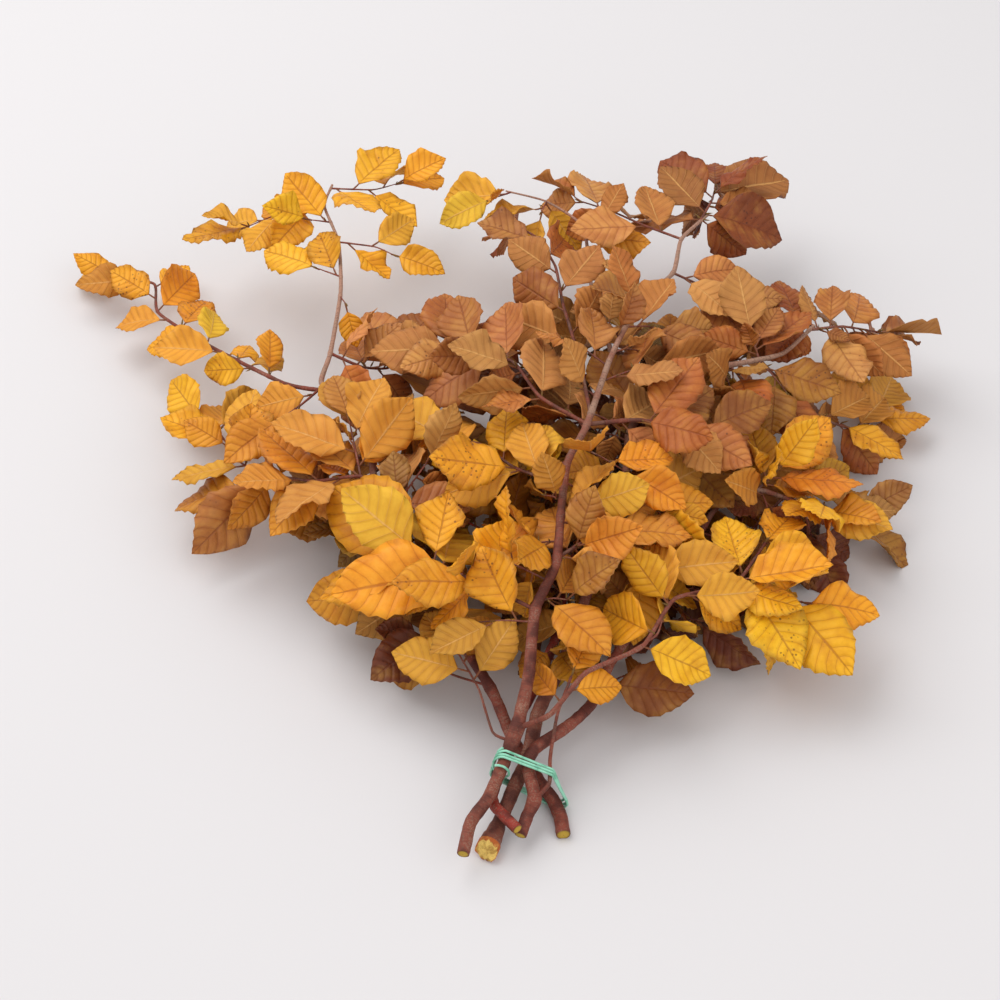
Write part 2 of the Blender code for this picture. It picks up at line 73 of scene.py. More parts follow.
# The least and the most of what is drawn for each leaf
leafRanges = {"bend": (-0.15, 0.45), "fold": (0.05, 0.45), "curl": (-0.5, 1.2), "wave": (1.5, 4.2),
              "waves": (2.0, 4.0), "phase": (0, 6.28), "twist": (-0.45, 0.45)}
randomSeed = 12

stemSides = 1
thickTwig = 2.0
twigTipRatio = 0.62
bandRadius = 0.9
bandGap = 0.5
bandTurns = 3
bandPitch = 2.1
bandStart = 11.0
bandSlope = 0.3
bandPointsPerTurn = 20
ringPoints = 24
bandAngle = math.radians(125)
loopPoints = 16
loopDrop = 7.0
restSpot = (43.0, -25.0)

# Places along a leaf blade where the plain solid has a row of corners
bladeRows = (0.14, 0.46, 0.8)

# The blade's outline: how full it is, how much that changes to the tip, and where it is widest
bladeFullness = 0.68
bladeTaper = 0.25
bladeShift = 0.95
bendShortening = 0.10
waveLag = 1.3

# Each stem is a route of (x, y, z, radius) given from its cut end to its tip, mostly on a
# grid of 5 mm outside the tied bundle. Each twig is (radius, number of leaves, their size against
# leafLength, bare share of the twig at its root, route), and its first point is moved to the middle
# of the stem or twig it grows from.
branches = {
    "centre_branch": {
        "stem": [
            (-25, -65, 26, 4.8), (-20, -40, 28, 5.0), (-8, -22, 32, 4.8), (4, 8, 38, 5.0),
            (12, 26, 50, 5.4), (20, 55, 70, 4.8), (25, 100, 90, 4.2), (40, 135, 100, 3.9),
            (45, 185, 110, 3.4), (50, 220, 120, 3.2), (65, 255, 125, 3.0), (85, 325, 130, 2.6),
            (110, 395, 125, 2.4), (140, 445, 115, 2.2), (150, 495, 110, 2.0), (175, 540, 100, 1.6),
        ],
        "twigs": {
            "fork": (1.9, 7, 0.95, 0.35, [(70, 265, 125), (60, 335, 125), (50, 400, 120),
                (45, 460, 110), (30, 510, 100), (15, 530, 95)]),
            "top": (1.5, 7, 1.1, 0.1, [(170, 525, 105), (180, 560, 100), (185, 585, 95)]),
            "top_left": (1.4, 6, 0.9, 0.2, [(150, 495, 110), (120, 520, 105), (95, 545, 100),
                (70, 565, 95)]),
            "upper_right": (1.4, 4, 0.9, 0.2, [(140, 445, 115), (165, 440, 105), (190, 445, 90)]),
            "upper_left": (1.3, 3, 1.0, 0.2, [(110, 395, 125), (90, 410, 120)]),
            "back_left": (1.9, 10, 0.95, 0.25, [(65, 255, 125), (30, 280, 130), (10, 325, 125),
                (-25, 350, 115), (-50, 370, 105)]),
            "left": (1.6, 6, 1.0, 0.2, [(45, 200, 115), (10, 230, 105), (-15, 260, 100),
                (-40, 275, 90)]),
            "lower_left": (1.8, 7, 1.25, 0.35, [(25, 100, 90), (-5, 120, 90), (-30, 140, 85),
                (-60, 165, 80)]),
            "front_right": (2.4, 7, 1.0, 0.6, [(10, 25, 50), (35, 25, 65), (60, 50, 80),
                (100, 70, 85), (125, 115, 85), (170, 135, 80),
                (195, 175, 80)]),
            "front_low": (1.3, 3, 0.95, 0.3, [(90, 65, 85), (110, 80, 85), (115, 95, 85)]),
            "front_far": (1.4, 5, 1.0, 0.2, [(170, 135, 80), (200, 130, 70), (220, 130, 65)]),
            "middle_stub": (1.2, 3, 0.9, 0.2, [(45, 175, 110), (60, 180, 115)]),
            "right_low": (1.7, 4, 0.95, 0.3, [(40, 140, 100), (70, 165, 100), (90, 180, 95)]),
            "right": (2.2, 5, 1.0, 0.3, [(65, 255, 125), (105, 265, 120), (155, 270, 105)]),
            "low_thin": (1.5, 4, 0.75, 0.72, [(8, 18, 44), (-5, 25, 45), (-15, 60, 50),
                (-30, 90, 55)]),
        },
    },
    "right_branch": {
        "stem": [
            (-8, -46, 8.6, 8.2), (-5, -38, 8.6, 7.8), (-1, -28, 10, 5.8), (4, -16, 13, 5.6),
            (13, 5, 19, 5.8), (19, 18, 21, 5.8), (27, 55, 30, 5.6), (40, 80, 40, 5.0),
            (55, 115, 50, 4.6), (70, 165, 65, 4.2), (90, 210, 75, 3.8), (95, 240, 85, 3.6),
            (100, 285, 90, 3.4), (120, 325, 95, 3.2), (140, 345, 95, 3.0), (180, 355, 95, 2.6),
            (225, 380, 85, 2.2), (255, 420, 80, 1.8),
        ],
        "twigs": {
            "tip_left": (1.5, 5, 0.8, 0.1, [(255, 420, 80), (235, 430, 80), (215, 430, 80)]),
            "tip_right": (1.6, 8, 0.85, 0.15, [(250, 415, 80), (280, 425, 75), (310, 430, 65)]),
            "right_low": (1.6, 8, 0.9, 0.25, [(205, 370, 90), (250, 335, 60), (290, 345, 35),
                (310, 385, 20)]),
            "middle_up": (1.4, 4, 0.8, 0.2, [(205, 370, 90), (200, 385, 100)]),
            "middle_low": (1.3, 3, 0.9, 0.2, [(180, 355, 95), (195, 345, 85)]),
            "inner_gold": (1.5, 4, 0.9, 0.2, [(90, 220, 80), (115, 200, 90)]),
            "low_gold": (1.6, 5, 0.9, 0.4, [(75, 175, 65), (90, 160, 75), (110, 140, 80),
                (120, 155, 85)]),
            "under_right": (1.6, 6, 0.95, 0.3, [(100, 280, 90), (145, 280, 70), (190, 285, 55)]),
        },
    },
    "left_branch": {
        "stem": [
            (44, -33, 4.6, 5.6), (42, -17, 4.6, 5.6), (37, -5, 8, 5.4), (28, 8, 9.5, 5.4),
            (21, 24, 9, 5.2), (8, 47, 14, 4.8), (-2, 67, 28, 4.6), (-10, 80, 36, 4.4),
            (-30, 110, 50, 4.2), (-45, 145, 60, 3.8), (-65, 170, 65, 3.6), (-75, 200, 70, 3.4),
            (-95, 245, 75, 3.2), (-100, 280, 80, 3.0), (-120, 320, 85, 2.8), (-140, 340, 90, 2.6),
            (-135, 375, 90, 2.2), (-130, 445, 95, 2.0), (-135, 510, 95, 1.7),
            (-150, 565, 90, 1.5), (-145, 595, 90, 1.3),
        ],
        "twigs": {
            "top_right": (1.1, 5, 0.85, 0.1, [(-145, 590, 90), (-110, 595, 85), (-90, 610, 80)]),
            "top_left": (1.1, 5, 0.75, 0.2, [(-150, 565, 90), (-190, 560, 85), (-215, 550, 80)]),
            "side_leaves": (1.1, 2, 0.8, 0.2, [(-130, 465, 95), (-150, 475, 95)]),
            "side_upper": (1.1, 2, 0.8, 0.2, [(-145, 540, 95), (-160, 540, 95)]),
            "right_thin": (1.1, 3, 0.7, 0.2, [(-135, 510, 95), (-105, 510, 90), (-90, 500, 90)]),
            "stem_leaf": (1.1, 1, 0.5, 0.2, [(-130, 440, 95), (-125, 425, 100)]),
            "far_left": (2.2, 13, 0.72, 0.2, [(-135, 330, 85), (-170, 350, 80), (-240, 425, 55),
                (-290, 490, 35), (-300, 540, 25), (-335, 555, 20)]),
            "mid_left": (1.4, 3, 0.9, 0.2, [(-140, 340, 85), (-155, 320, 85), (-170, 310, 80)]),
            "inner_left": (1.9, 8, 0.95, 0.3, [(-75, 190, 70), (-85, 220, 80), (-105, 240, 85),
                (-140, 240, 80), (-170, 255, 70), (-195, 255, 60)]),
            "twin_left": (1.3, 5, 0.95, 0.3, [(-170, 255, 70), (-200, 280, 60), (-225, 330, 50),
                (-240, 350, 40)]),
            "tall_twig": (1.3, 4, 0.9, 0.2, [(-105, 240, 85), (-115, 285, 100)]),
            "right_tan": (1.3, 4, 0.9, 0.2, [(-80, 210, 75), (-70, 225, 85), (-55, 245, 95)]),
            "low_olive": (1.3, 5, 0.75, 0.3, [(-70, 190, 65), (-100, 225, 55), (-135, 250, 40)]),
            "low_thin": (1.3, 3, 0.75, 0.5, [(-10, 75, 35), (-40, 90, 35), (-70, 130, 30)]),
            "mid_right": (1.7, 6, 1.0, 0.2, [(-100, 280, 80), (-80, 300, 75), (-50, 325, 70),
                (-35, 350, 65)]),
            "upper_mid": (1.6, 7, 1.0, 0.15, [(-135, 375, 90), (-110, 370, 80), (-90, 380, 70),
                (-80, 400, 70)]),
        },
    },
    "middle_branch": {
        "stem": [
            (12, -43, 24, 4.3), (2, -30, 23.5, 4.4), (-3.5, -22, 22.5, 4.4), (-5.5, -14, 21.5, 4.4),
            (-4, -5, 21, 4.5), (-1, 6, 20.5, 4.5), (4, 20, 20, 4.5), (7, 36, 23, 4.4),
            (14, 55, 27.5, 4.2), (24, 76, 29, 4.0), (40, 120, 35, 3.7), (50, 175, 40, 3.4),
            (65, 230, 50, 3.0), (80, 285, 60, 2.7), (90, 360, 75, 2.2), (85, 420, 85, 2.0),
            (75, 460, 90, 1.9), (70, 530, 95, 1.6), (40, 565, 95, 1.2), (5, 580, 95, 1.0),
        ],
        "twigs": {
            "top_brown": (1.1, 2, 0.8, 0.2, [(70, 515, 95), (85, 530, 100)]),
            "top_gold": (1.1, 3, 0.9, 0.2, [(40, 565, 95), (35, 545, 100)]),
            "tip": (1.1, 3, 0.8, 0.1, [(10, 580, 95), (-5, 570, 95)]),
            "mid_gold": (1.2, 2, 0.85, 0.2, [(85, 415, 85), (75, 430, 90)]),
            "left_small": (1.2, 3, 0.8, 0.2, [(85, 395, 80), (70, 405, 85)]),
            "red_left": (1.5, 6, 0.95, 0.2, [(85, 325, 70), (55, 315, 70), (30, 340, 65)]),
            "gold_left": (1.7, 7, 1.0, 0.2, [(65, 240, 50), (30, 250, 60), (-20, 270, 70)]),
            "low_left": (1.7, 7, 0.95, 0.2, [(50, 185, 40), (20, 195, 50), (-30, 225, 55)]),
            "brown_right": (1.6, 6, 1.0, 0.2, [(80, 280, 60), (115, 300, 55), (145, 330, 50)]),
            "upper_right": (1.6, 6, 0.95, 0.2, [(90, 350, 75), (120, 385, 70), (150, 405, 65)]),
            "upper_left": (1.5, 5, 1.0, 0.2, [(90, 360, 75), (50, 370, 75), (20, 380, 70)]),
            "low_middle": (1.6, 4, 0.9, 0.3, [(45, 140, 35), (45, 160, 50), (55, 170, 55)]),
            "low_front": (1.5, 3, 0.6, 0.3, [(35, 110, 35), (40, 100, 50)]),
        },
    },
    "lower_right_branch": {
        "stem": [
            (14, -40, 13, 4.8), (19, -26, 17, 5.0), (24, -16, 24, 5.2), (19, 7, 33, 5.0),
            (24, 17, 36, 4.9), (33, 24, 38, 4.8), (48, 35, 40, 4.6), (65, 55, 40, 4.4),
            (80, 90, 45, 3.9), (105, 130, 50, 3.4), (140, 185, 55, 3.0), (160, 225, 60, 2.7),
            (175, 245, 60, 2.6), (200, 245, 65, 2.3), (230, 235, 60, 1.8), (250, 240, 45, 1.5),
            (265, 255, 35, 1.3),
        ],
        "twigs": {
            "knuckle": (2.1, 3, 0.6, 0.8, [(23, -18, 23), (34, -10, 32), (35, 9, 37), (40, 32, 56),
                (50, 55, 70)]),
            "right_tip": (1.2, 3, 0.9, 0.1, [(260, 250, 40), (280, 260, 25)]),
            "upright": (1.2, 3, 0.95, 0.2, [(245, 240, 50), (245, 230, 65)]),
            "hub": (1.4, 5, 1.0, 0.2, [(195, 245, 65), (210, 255, 75)]),
            "under": (1.5, 5, 0.95, 0.3, [(215, 240, 60), (190, 225, 40), (175, 220, 30)]),
            "under_far": (1.5, 4, 0.9, 0.3, [(230, 235, 60), (240, 225, 30)]),
            "low_dark": (1.5, 4, 0.95, 0.2, [(120, 155, 50), (150, 170, 35), (170, 175, 20)]),
            "low_brown": (1.4, 2, 0.9, 0.3, [(70, 70, 40), (90, 90, 30)]),
            "mid_dark": (1.5, 4, 0.95, 0.2, [(105, 130, 50), (85, 160, 45), (75, 180, 40)]),
        },
    },
}

# The last step of every piece: from millimetres round the band to metres round the resting spot
toMetres = Matrix.Scale(0.001, 4) @ Matrix.Translation((-restSpot[0], -restSpot[1], 0))


def added(name, data):
    made = bpy.data.objects.new(name, data)
    bpy.context.scene.collection.objects.link(made)
    return made


# The plain mesh that an object's curve or modifiers come to
def plainMesh(helper):
    bpy.context.view_layer.update()
    return bpy.data.meshes.new_from_object(helper.evaluated_get(bpy.context.evaluated_depsgraph_get()))


# The route of each stick as the solids have it, as corners and faces for trying clearances
def plainStick(route, sides):
    curve = bpy.data.curves.new("route", "CURVE")
    curve.dimensions = "3D"
    curve.bevel_depth = 1.0
    curve.bevel_resolution = sides
    curve.use_fill_caps = True
    spline = curve.splines.new("POLY")
    spline.points.add(len(route) - 1)
    for point, (x, y, z, radius) in zip(spline.points, route):
        point.co = (x, y, z, 1.0)
        point.radius = radius
    helper = added("route", curve)
    mesh = plainMesh(helper)
    bpy.data.objects.remove(helper)
    bpy.data.curves.remove(curve)
    work = bmesh.new()
    work.from_mesh(mesh)
    bmesh.ops.remove_doubles(work, verts=work.verts, dist=0.0001)
    bmesh.ops.recalc_face_normals(work, faces=work.faces)
    work.to_mesh(mesh)
    work.free()
    corners = [corner.co.copy() for corner in mesh.vertices]
    faces = [tuple(face.vertices) for face in mesh.polygons]
    bpy.data.meshes.remove(mesh)
    return corners, faces


def routeVectors(points):
    return [Vector(point[:3]) for point in points]


# The nearest place to a point on the middle line of any of the routes that could carry it
def nearestPlace(point, carriers):
    best = None
    for route in carriers:
        for start, end in zip(route, route[1:]):
            foot, share = intersect_point_line(point, start, end)
            foot = start.lerp(end, max(0.0, min(1.0, share)))
            if best is None or (foot - point).length < (best - point).length:
                best = foot
    return best


# The middle line of every twig of a branch, each rooted in the stem or in a twig before it
def twigLines(branch):
    carriers = [routeVectors(branch["stem"])]
    lines = {}
    for name, (radius, leafCount, size, bare, points) in branch["twigs"].items():
        line = routeVectors(points)
        line[0] = nearestPlace(line[0], carriers)
        carriers.append(line)
        lines[name] = line
    return lines


def tapered(line, radius):
    last = len(line) - 1
    return [(*point, radius * (1 - (1 - twigTipRatio) * index / last)) for index, point in enumerate(line)]


# The place and the direction at a distance along a route
def along(points, distance):
    for start, end in zip(points, points[1:]):
        span = (end - start).length
        if distance <= span or end is points[-1]:
            step = (end - start).normalized()
            return start + step * min(distance, span), step
        distance -= span
    return points[-1], (points[-1] - points[-2]).normalized()


def routeLength(points):
    return sum((end - start).length for start, end in zip(points, points[1:]))


# Half the blade's width at a place along it, from 0 at the base to 1 at the tip
def bladeOutline(place):
    if not 0 < place < 1:
        return 0.0
    return math.sin(math.pi * place ** bladeShift) ** (bladeFullness + bladeTaper * place)


# A point of a leaf's middle surface. Place runs along the midrib and side across it, from -1 to 1
def leafPoint(leaf, place, side):
    length = leaf["length"]
    half = 0.5 * leafWidthRatio * length * bladeOutline(place)
    across = side * max(half, 0.5 * petioleWidth * (1 - place))
    reach = petioleLength + length * place * (1 - bendShortening * abs(leaf["bend"]) * place)
    wave = leaf["wave"] * math.sin(leaf["waves"] * math.pi * place + leaf["phase"] + waveLag * side)
    lift = leaf["fold"] * abs(across) - leaf["curl"] * across * across / length
    lift += wave * side * side * bladeOutline(place)
    lift -= leaf["bend"] * length * 0.5 * place * place
    turn = leaf["twist"] * place
    sideways = across * math.cos(turn)
    lift += across * math.sin(turn)
    point = leaf["root"] + leaf["ahead"] * reach + leaf["right"] * sideways + leaf["up"] * lift
    return Vector((point.x, point.y, max(point.z, 0.5)))


# Corners and matching triangles of the plain leaf's middle surface. The stalk and the blade's base
# are one wedge from the root, which starts further out by skipped when clearances are tried
def leafSheet(leaf, grow=0.0, skipped=0.0):
    wider = 1 + grow * 0.05
    first, middle, last = bladeRows
    corners = [leaf["root"] + leaf["ahead"] * skipped]
    corners += [leafPoint(leaf, first, side * wider) for side in (-1, 1)]
    corners += [leafPoint(leaf, middle, side * wider) for side in (-1, 0, 1)]
    corners += [leafPoint(leaf, last, side * wider) for side in (-1, 1)]
    corners.append(leafPoint(leaf, 1.0 + grow * 0.02, 0))
    triangles = [(0, 2, 1), (1, 2, 4), (1, 4, 3), (2, 5, 4), (3, 4, 6), (4, 7, 6), (4, 5, 7), (6, 7, 8)]
    return corners, triangles


# Both faces of a leaf and the rim between them, for trying its clearance
def leafSolid(leaf, thickness, grow=0.0, skipped=0.0):
    corners, triangles = leafSheet(leaf, grow, skipped)
    normals = [Vector() for corner in corners]
    for a, b, c in triangles:
        facing = (corners[b] - corners[a]).cross(corners[c] - corners[a])
        for index in (a, b, c):
            normals[index] += facing
    count = len(corners)
    top, bottom = [[corner + normal.normalized() * thickness / way
                    for corner, normal in zip(corners, normals)] for way in (2, -2)]
    faces = list(triangles) + [(c + count, b + count, a + count) for a, b, c in triangles]
    edges = {(a, b) for t in triangles for a, b in zip(t, (t[1], t[2], t[0]))}
    for a, b in sorted(edges):
        if (b, a) not in edges:
            faces += [(b, a, a + count), (b, a + count, b + count)]
    return top + bottom, faces


def box(corners):
    sides = [[corner[axis] for corner in corners] for axis in range(3)]
    return [min(side) for side in sides], [max(side) for side in sides]


class Clearance:
    # Keeps what has been placed so far, each with its box, its tree and the node it belongs to
    def __init__(self):
        self.placed = []

    def add(self, corners, faces, node):
        low, high = box(corners)
        tree = BVHTree.FromPolygons([tuple(corner) for corner in corners], faces)
        self.placed.append((low, high, tree, node))

    def free(self, corners, faces, ownNode=None):
        low, high = box(corners)
        tree = None
        for otherLow, otherHigh, otherTree, node in self.placed:
            apart = any(low[axis] > otherHigh[axis] or high[axis] < otherLow[axis] for axis in range(3))
            if apart or node == ownNode:
                continue
            tree = tree or BVHTree.FromPolygons([tuple(corner) for corner in corners], faces)
            if tree.overlap(otherTree):
                return False
        return True


# The leaf that a twig would carry at one place, before it is tried against its neighbours
def draftLeaf(draw, root, step, yaw, size, attempt):
    loose = 1 + loosenedByTry * attempt
    shrink = max(smallestShrink, 1 - shrunkByTry * attempt)
    flat = Vector((step.x, step.y, 0.35 * step.z)).normalized()
    ahead = Matrix.Rotation(math.radians(yaw + draw.gauss(0, turnSpread) * loose), 3, "Z") @ flat
    pitch = math.radians(draw.gauss(*leafTilt) * loose)
    ahead = Vector((ahead.x * math.cos(pitch), ahead.y * math.cos(pitch), ahead.z + math.sin(pitch)))
    ahead.normalize()
    right = ahead.cross(leafFacing).normalized()
    right = Matrix.Rotation(math.radians(draw.gauss(0, rollSpread) * loose), 3, ahead) @ right
    length = leafLength * size * (1 + draw.gauss(0, leafLengthSpread)) * shrink
    leaf = {"root": root, "ahead": ahead, "right": right, "up": right.cross(ahead), "length": length}
    for name, limits in leafRanges.items():
        leaf[name] = draw.uniform(*limits)
    return leaf


# Leaves stand to the left and right in turn along a twig, with one at its end. Where they stand
# close together they fan out further
def twigLeaves(draw, node, points, count, size, bare, clearance):
    length = routeLength(points)
    kept = []
    gap = (1 - bare) * length / max(count - 1, 1)
    fan = max(0.0, 1 - gap / fanSpacing) * fanSpacing
    side = draw.choice((-1, 1))
    for index in range(count):
        place = max(length - lastLeafInset - gap * index, firstLeafInset)
        root, step = along(points, place)
        side = -side
        yaw = side * (leafTurn + fan * index * 0.9) if index else 0
        yaw = max(-widestTurn, min(widestTurn, yaw))
        for attempt in range(placingTries):
            leaf = draftLeaf(draw, root, step, yaw, size, attempt)
            thick = leafThickness + 2 * leafClearance
            if not clearance.free(*leafSolid(leaf, thick, 0.6, stalkSkipped)):
                continue
            if not clearance.free(*leafSolid(leaf, thick, 0.6), node):
                continue
            corners, faces = leafSolid(leaf, leafThickness)
            clearance.add(corners, faces, node)
            kept.append(leaf)
            break
    return kept


# How far up the bunch a point is, measured square to the band, which slopes down to the right
def bandHeight(point):
    return point[1] + bandSlope * point[0]


# Where a stem or twig passes through the band's slanted plane at one height
def crossing(points, height):
    for start, end in zip(points, points[1:]):
        if bandHeight(start) <= height <= bandHeight(end):
            share = (height - bandHeight(start)) / (bandHeight(end) - bandHeight(start))
            centre = Vector(start[:3]).lerp(Vector(end[:3]), share)
            step = (Vector(end[:3]) - Vector(start[:3])).normalized()
            return centre, step, start[3] + share * (end[3] - start[3])
    return None


def crossingRing(points, height, extra):
    found = crossing(points, height)
    if not found:
        return []
    centre, step, radius = found
    across = step.cross(Vector((0, 0, 1))).normalized()
    over = across.cross(step)
    ring = []
    for part in range(ringPoints):
        angle = math.tau * part / ringPoints
        spot = centre + (across * math.cos(angle) + over * math.sin(angle)) * (radius + extra)
        spot -= step * ((bandHeight(spot) - height) / bandHeight(step))
        ring.append((spot.x, spot.z))
    return ring


# The outermost of a set of flat points in one direction, where a tight band would bend
def outermost(spots, angle):
    return max(spots, key=lambda spot: spot[0] * math.cos(angle) + spot[1] * math.sin(angle))


# The band is wound round all the stems, then once more round the centre branch's stem alone
def bandRoute():
    held = [branch["stem"] for branch in branches.values()]
    knuckleRadius = branches["lower_right_branch"]["twigs"]["knuckle"][0]
    held.append(tapered(twigLines(branches["lower_right_branch"])["knuckle"], knuckleRadius))
    reach = bandGap + bandRadius
    route = []

    def addPoint(stems, height, angle):
        spots = []
        for stem in stems:
            for near in (height - bandRadius, height, height + bandRadius):
                spots += crossingRing(stem, near, reach)
        x, z = outermost(spots, angle)
        spot = (x, height - bandSlope * x, max(z, bandRadius + 0.05), bandRadius)
        if not route or (Vector(route[-1][:3]) - Vector(spot[:3])).length > 0.3:
            route.append(spot)

    for index in range(bandTurns * bandPointsPerTurn + 1):
        turns = index / bandPointsPerTurn
        addPoint(held, bandStart - bandPitch * turns, bandAngle + math.tau * turns)
    last = bandHeight(route[-1])
    for index in range(1, loopPoints + 1):
        turns = index / loopPoints
        addPoint(held[:1], last - loopDrop * min(1, turns * 2), bandAngle + math.tau * turns)
    return route


# Every leaf of every twig, drawn in the same order as in the solids
def placedLeaves():
    clearance = Clearance()
    lines = {node: twigLines(branch) for node, branch in branches.items()}
    for node, branch in branches.items():
        corners, faces = plainStick(branch["stem"], stemSides)
        for corner in corners:
            corner.z = max(corner.z, 0.0)
        clearance.add(corners, faces, node)
        for name, line in lines[node].items():
            radius = branch["twigs"][name][0]
            sides = 1 if radius > thickTwig else 0
            clearance.add(*plainStick(tapered(line, radius), sides), node)
    clearance.add(*plainStick(bandRoute(), 0), "tie")
    draw = random.Random(randomSeed)
    leaves = {}
    for node, branch in branches.items():
        leaves[node] = {}
        for name, (radius, leafCount, size, bare, points) in branch["twigs"].items():
            kept = twigLeaves(draw, node, lines[node][name], leafCount, size, bare, clearance)
            leaves[node][name] = kept
    return leaves, lines, clearance


def allLeaves(leaves):
    return [leaf for twigs in leaves.values() for kept in twigs.values() for leaf in kept]


# More leaves than the solids hold: between theirs on each twig, and on short spurs along the stems
fillLook = {
    "share": 0.8,           # more leaves on a twig, of its own number
    "sparse": {"top_right", "top_left", "side_leaves", "side_upper", "right_thin", "stem_leaf",
               "far_left", "mid_left", "fork", "tip", "top_gold", "top_brown", "mid_gold", "low_thin",
               "low_brown", "knuckle", "front_low"},
    "sparseShare": 0.12,
    "size": 0.92,           # against the twig's own leaves
    "spurGap": 17.0,        # mm along a stem from spur to spur
    "spurStart": 180.0,     # mm from the cut end
    "spurTurn": (35, 95),   # degrees away from the stem
    "spurBare": 0.3,        # share of a spur without leaves
    "lowestTip": 8.0,       # mm above the surface
    "rise": 2.0,            # mm that a spur is bowed upwards
    "spurEnd": {"centre_branch": 480.0, "right_branch": 520.0, "left_branch": 370.0,
                "middle_branch": 460.0, "lower_right_branch": 400.0},
    "spurLength": (18.0, 48.0),
    "spurDrop": (-0.75, 0.05),
    "spurLeaves": 3,
    "tipLeft": 20.0,        # mm at a stem's tip without spurs
    "spurRadius": 1.1,
    "seed": 23,
}


def fillingLeaves(leaves, lines, clearance):
    draw = random.Random(fillLook["seed"])
    spurs = {}
    for node, branch in branches.items():
        for name, (radius, leafCount, size, bare, points) in branch["twigs"].items():
            share = fillLook["sparseShare"] if name in fillLook["sparse"] else fillLook["share"]
            count = round(leafCount * share)
            more = twigLeaves(draw, node, lines[node][name], count, size * fillLook["size"],
                              bare, clearance)
            leaves[node][name] = leaves[node][name] + more
        stem = routeVectors(branch["stem"])
        length = min(routeLength(stem) - fillLook["tipLeft"], fillLook["spurEnd"][node])
        spurs[node] = {}
        distance = fillLook["spurStart"]
        side = 1
        while distance < length:
            root, step = along(stem, distance)
            flat = Vector((step.x, step.y, 0)).normalized()
            turn = Matrix.Rotation(math.radians(side * draw.uniform(*fillLook["spurTurn"])), 3, "Z")
            ahead = turn @ flat + Vector((0, 0, draw.uniform(*fillLook["spurDrop"])))
            tip = root + ahead.normalized() * draw.uniform(*fillLook["spurLength"])
            tip.z = max(tip.z, fillLook["lowestTip"])
            line = [root, (root + tip) / 2 + Vector((0, 0, fillLook["rise"])), tip]
            kept = twigLeaves(draw, node, line, fillLook["spurLeaves"], fillLook["size"],
                              fillLook["spurBare"], clearance)
            if len(kept) > 1:
                name = f"spur{len(spurs[node])}"
                spurs[node][name] = line
                leaves[node][name] = kept
            side = -side
            distance += fillLook["spurGap"]
    return spurs


# A socket of a node tree. Arithmetic on it adds the Math nodes that work it out
class Wire:
    def __init__(self, bench, socket):
        self.bench = bench
        self.socket = socket

    def __add__(self, other):
        return self.bench.math("ADD", self, other)

    def __radd__(self, other):
        return self.bench.math("ADD", other, self)

    def __sub__(self, other):
        return self.bench.math("SUBTRACT", self, other)

    def __rsub__(self, other):
        return self.bench.math("SUBTRACT", other, self)

    def __mul__(self, other):
        return self.bench.math("MULTIPLY", self, other)

    def __rmul__(self, other):
        return self.bench.math("MULTIPLY", other, self)

    def __truediv__(self, other):
        return self.bench.math("DIVIDE", self, other)

    def __pow__(self, other):
        return self.bench.math("POWER", self, other)

    def __abs__(self):
        return self.bench.math("ABSOLUTE", self)


